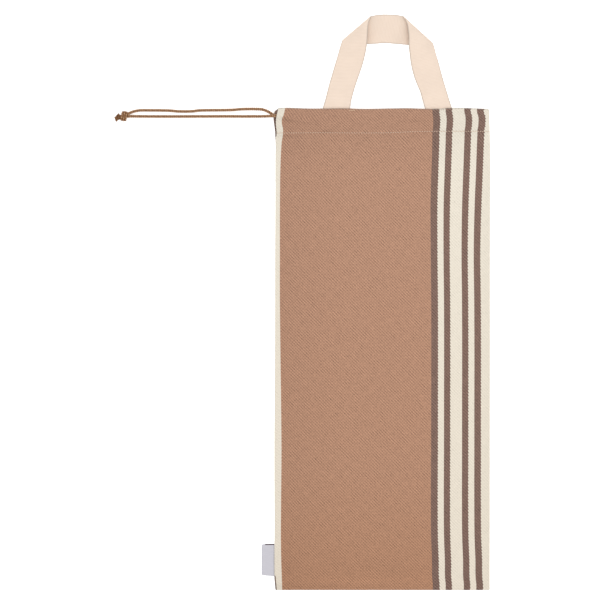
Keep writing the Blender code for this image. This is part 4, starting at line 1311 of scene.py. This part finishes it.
# Stitches: short lengths of thread that follow a line on the cloth. A kind's rows say where they start and
# end, from the left seam and below the mouth.
stitches = {
    "casing": {"pitch": 0.00315, "length": 0.0022, "width": 0.00095, "wobble": 0.15, "seed": 3,
               "thread": "spunPolyesterThreadTan", "colour": "#d6bda9", "points": 90, "foldPoints": 13},
    "legs": {"pitch": 0.0028, "length": 0.0017, "width": 0.0005, "wobble": 0.12, "seed": 5,
             "thread": "spunPolyesterThreadBrown", "colour": "#ab8a74", "points": 14, "outward": 0.00015,
             "rows": {"left_leg_stitches": ((0.064, 0.099), (0.0017, 0.0017)),
                      "right_leg_stitches": ((0.192, 0.228), (0.0017, 0.0017))}},
    "bar": {"pitch": 0.0022, "length": 0.0030, "width": 0.0007, "wobble": 0.05, "seed": 7,
            "thread": "spunPolyesterThreadCream", "colour": "#e2c7a8", "points": 4, "outward": 0.0003,
            "rows": {"bar_stitch": ((0.0975, 0.1030), (0.0031, 0.0023))}},
    "twist": {"scale": 1500.0, "light": (0.88, 1.08), "bump": (0.3, 0.0001)},
}


# Spun polyester thread: tight and smooth, so it catches a little more light than the cloth
def makeThread(kind):
    material, add = newMaterial(kind["thread"])
    spots = add("TexCoord").outputs["Object"]
    twist = add("TexNoise", Vector=spots, Scale=stitches["twist"]["scale"], Detail=2.0)
    varied = add("MapRange", twist, *noiseRange, *stitches["twist"]["light"])
    plain = linearColour(kind["colour"])[:3]
    colour = add("VectorMath", plain, operation="SCALE", Scale=varied)
    finishMaterial(add, twist, *stitches["twist"]["bump"], Base_Color=colour, Roughness=0.6,
                   Specular_IOR_Level=0.3)
    return material


def makeStitchTree():
    tree = bpy.data.node_groups.new("stitchesAlongLine", "GeometryNodeTree")
    kinds = {"Line": "Geometry", "Pitch": "Float", "Stitch Length": "Float", "Thread Width": "Float",
             "Wobble": "Float", "Seed": "Int", "Thread": "Material"}
    for name, kind in kinds.items():
        tree.interface.new_socket(name=name, in_out="INPUT", socket_type=f"NodeSocket{kind}")
    tree.interface.new_socket(name="Stitches", in_out="OUTPUT", socket_type="NodeSocketGeometry")
    add = partial(addNode, tree)
    given = add("NodeGroupInput").outputs
    line = add("GeometryNodeMeshToCurve", Mesh=given["Line"])
    spaced = add("GeometryNodeResampleCurve", mode="LENGTH", Curve=line, Length=given["Pitch"])
    ball = add("GeometryNodeMeshUVSphere", Segments=6, Rings=5, Radius=0.5)
    size = add("CombineXYZ", X=given["Thread Width"], Y=given["Thread Width"], Z=given["Stitch Length"])
    stitch = add("GeometryNodeTransform", Geometry=ball, Rotation=(0.0, math.pi / 2.0, 0.0), Scale=size)
    tangent = add("GeometryNodeInputTangent")
    outward = add("GeometryNodeInputNamedAttribute", data_type="FLOAT_VECTOR", Name="outward")
    along = add("FunctionNodeAlignRotationToVector", axis="X", Vector=tangent)
    upright = add("FunctionNodeAlignRotationToVector", axis="Z", pivot_axis="X", Rotation=along,
                  Vector=outward)
    placed = add("GeometryNodeInstanceOnPoints", Points=spaced, Instance=stitch, Rotation=upright)
    least = add("Math", given["Wobble"], -1.0, operation="MULTIPLY")
    chance = add("FunctionNodeRandomValue", data_type="FLOAT", _2=least, _3=given["Wobble"],
                 Seed=given["Seed"])
    turn = add("CombineXYZ", Z=chance.outputs[1])
    turned = add("GeometryNodeRotateInstances", Instances=placed, Rotation=turn)
    real = add("GeometryNodeRealizeInstances", Geometry=turned)
    smooth = add("GeometryNodeSetShadeSmooth", Geometry=real)
    finished = add("GeometryNodeSetMaterial", Geometry=smooth, Material=given["Thread"])
    add("NodeGroupOutput", Stitches=finished)
    return tree


stitchTree = makeStitchTree()


# A row of stitches along a line on the outside of the cloth
def stitchPiece(name, across, angle, depth, outward, kind, material):
    low, high = (clothPoint(across, angle, depth, outward + out) for out in (0.0, 0.001))
    piece = newPiece(name, place(low), [], lines=[(n, n + 1) for n in range(len(low) - 1)])
    givePoints(piece, "outward", (high - low) * 1000.0)
    modifier = piece.modifiers.new("stitches", "NODES")
    modifier.node_group = stitchTree
    given = {"Pitch": kind["pitch"], "Stitch Length": kind["length"], "Thread Width": kind["width"],
             "Wobble": kind["wobble"], "Seed": kind["seed"], "Thread": material}
    for socket in stitchTree.interface.items_tree:
        if socket.name in given:
            modifier[socket.identifier] = given[socket.name]
    evaluated = piece.evaluated_get(bpy.context.evaluated_depsgraph_get())
    piece.data = bpy.data.meshes.new_from_object(evaluated)
    piece.modifiers.clear()
    return piece


def makeStitches():
    kind = stitches["casing"]
    front = np.linspace(0.004, 1.0, kind["points"])
    fold = np.linspace(90.0, -90.0, kind["foldPoints"])[1:-1]
    across = np.r_[front, np.ones(len(fold)), front[::-1]]
    angle = np.r_[np.full(len(front), 90.0), fold, np.full(len(front), -90.0)]
    outward = np.where(angle == -90.0, -kind["width"] * 0.5, kind["width"] * 0.3 - cloth["stitchDip"])
    thread = makeThread(kind)
    made = [stitchPiece("casing_stitches", across, angle, cloth["hemDepth"], outward, kind, thread)]
    for kind in (stitches["legs"], stitches["bar"]):
        thread = makeThread(kind)
        for name, ends in kind["rows"].items():
            x, depth = (np.linspace(*pair, kind["points"]) for pair in ends)
            made.append(stitchPiece(name, acrossAt(x, depth), 90.0, depth, kind["outward"], kind, thread))
    return made


stitchPieces = makeStitches()
print("stitches sewn")

# A plain pale floor, a bright even room and one large soft light overhead
studio = {
    "floor": "#f4f4f4",
    "floorReach": 4.0,
    "floorDrop": 0.0002,  # just under the bag
    "grain": {"scale": 30.0, "light": (0.99, 1.0)},
    "room": 0.85,
    "overhead": 22.3,
    "overheadSize": 2.6,
    "overheadPlace": (0.2, 0.12, 2.2),
    "floorGlow": 0.5,  # a light table, so that shadows on it stay pale
}


def makeStudio():
    material, add = newMaterial("mattPaperFloor")
    spots = add("TexCoord").outputs["Object"]
    grain = add("TexNoise", Vector=spots, Scale=studio["grain"]["scale"])
    tone = add("MapRange", grain, 0.0, 1.0, *studio["grain"]["light"])
    plain = linearColour(studio["floor"])[:3]
    colour = add("VectorMath", plain, operation="SCALE", Scale=tone)
    shader = add("BsdfPrincipled", Base_Color=colour, Roughness=0.95, Specular_IOR_Level=0.1,
                 Emission_Color=(1.0, 1.0, 1.0, 1.0), Emission_Strength=studio["floorGlow"])
    add("OutputMaterial", Surface=shader)
    reach, low = studio["floorReach"], -studio["floorDrop"]
    corners = [(-reach, -reach, low), (reach, -reach, low), (reach, reach, low), (-reach, reach, low)]
    newPiece("floor", corners, [(0, 1, 2, 3)], material, False)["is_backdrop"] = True
    world = bpy.data.worlds.new("room")
    bpy.context.scene.world = world
    world.use_nodes = True
    background = world.node_tree.nodes["Background"]
    background.inputs["Color"].default_value = (1.0, 1.0, 1.0, 1.0)
    background.inputs["Strength"].default_value = studio["room"]
    overhead = bpy.data.lights.new("overhead", "AREA")
    overhead.energy = studio["overhead"]
    overhead.size = studio["overheadSize"]
    lamp = bpy.data.objects.new("overhead", overhead)
    lamp.location = studio["overheadPlace"]
    lamp.rotation_euler = lamp.location.to_track_quat("Z", "Y").to_euler()
    bpy.context.scene.collection.objects.link(lamp)
    bpy.context.scene.view_settings.view_transform = "Standard"


makeStudio()

# What each piece stands for, and a finish name for it, which nothing here reads: each piece goes under the
# root body, and the CAD part that it stands for is hidden
roles = (
    (bagPiece, "bag_cloth", "striped_twill"),
    (handlePiece, "handle_webbing", "cotton_webbing"),
    (hemCord, "hem_cord", "braided_cord"),
    (strands["front"], "front_strand", "braided_cord"),
    (strands["back"], "back_strand", "braided_cord"),
    (knotPiece, "cord_knot", "braided_cord"),
    (labelPiece, "side_label", "satin_ribbon"),
    *((piece, None, "striped_twill") for piece in stitchPieces),
)
for piece, node, slot in roles:
    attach(piece, "root")
    if node:
        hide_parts(node)

for side, exitPoint in cord["exits"].items():
    route = strandRoutes[side]
    length = round(float(lengthAlong(route)[-1]), 3)
    tuple(float(v) for v in place(exitPoint))
    [tuple(float(v) for v in p) for p in route]
    print(f"{side} strand {length} m")

for bounds in (cadBounds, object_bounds()):
    json.dumps([[float(v) for v in corner] for corner in bounds]) + "\n"
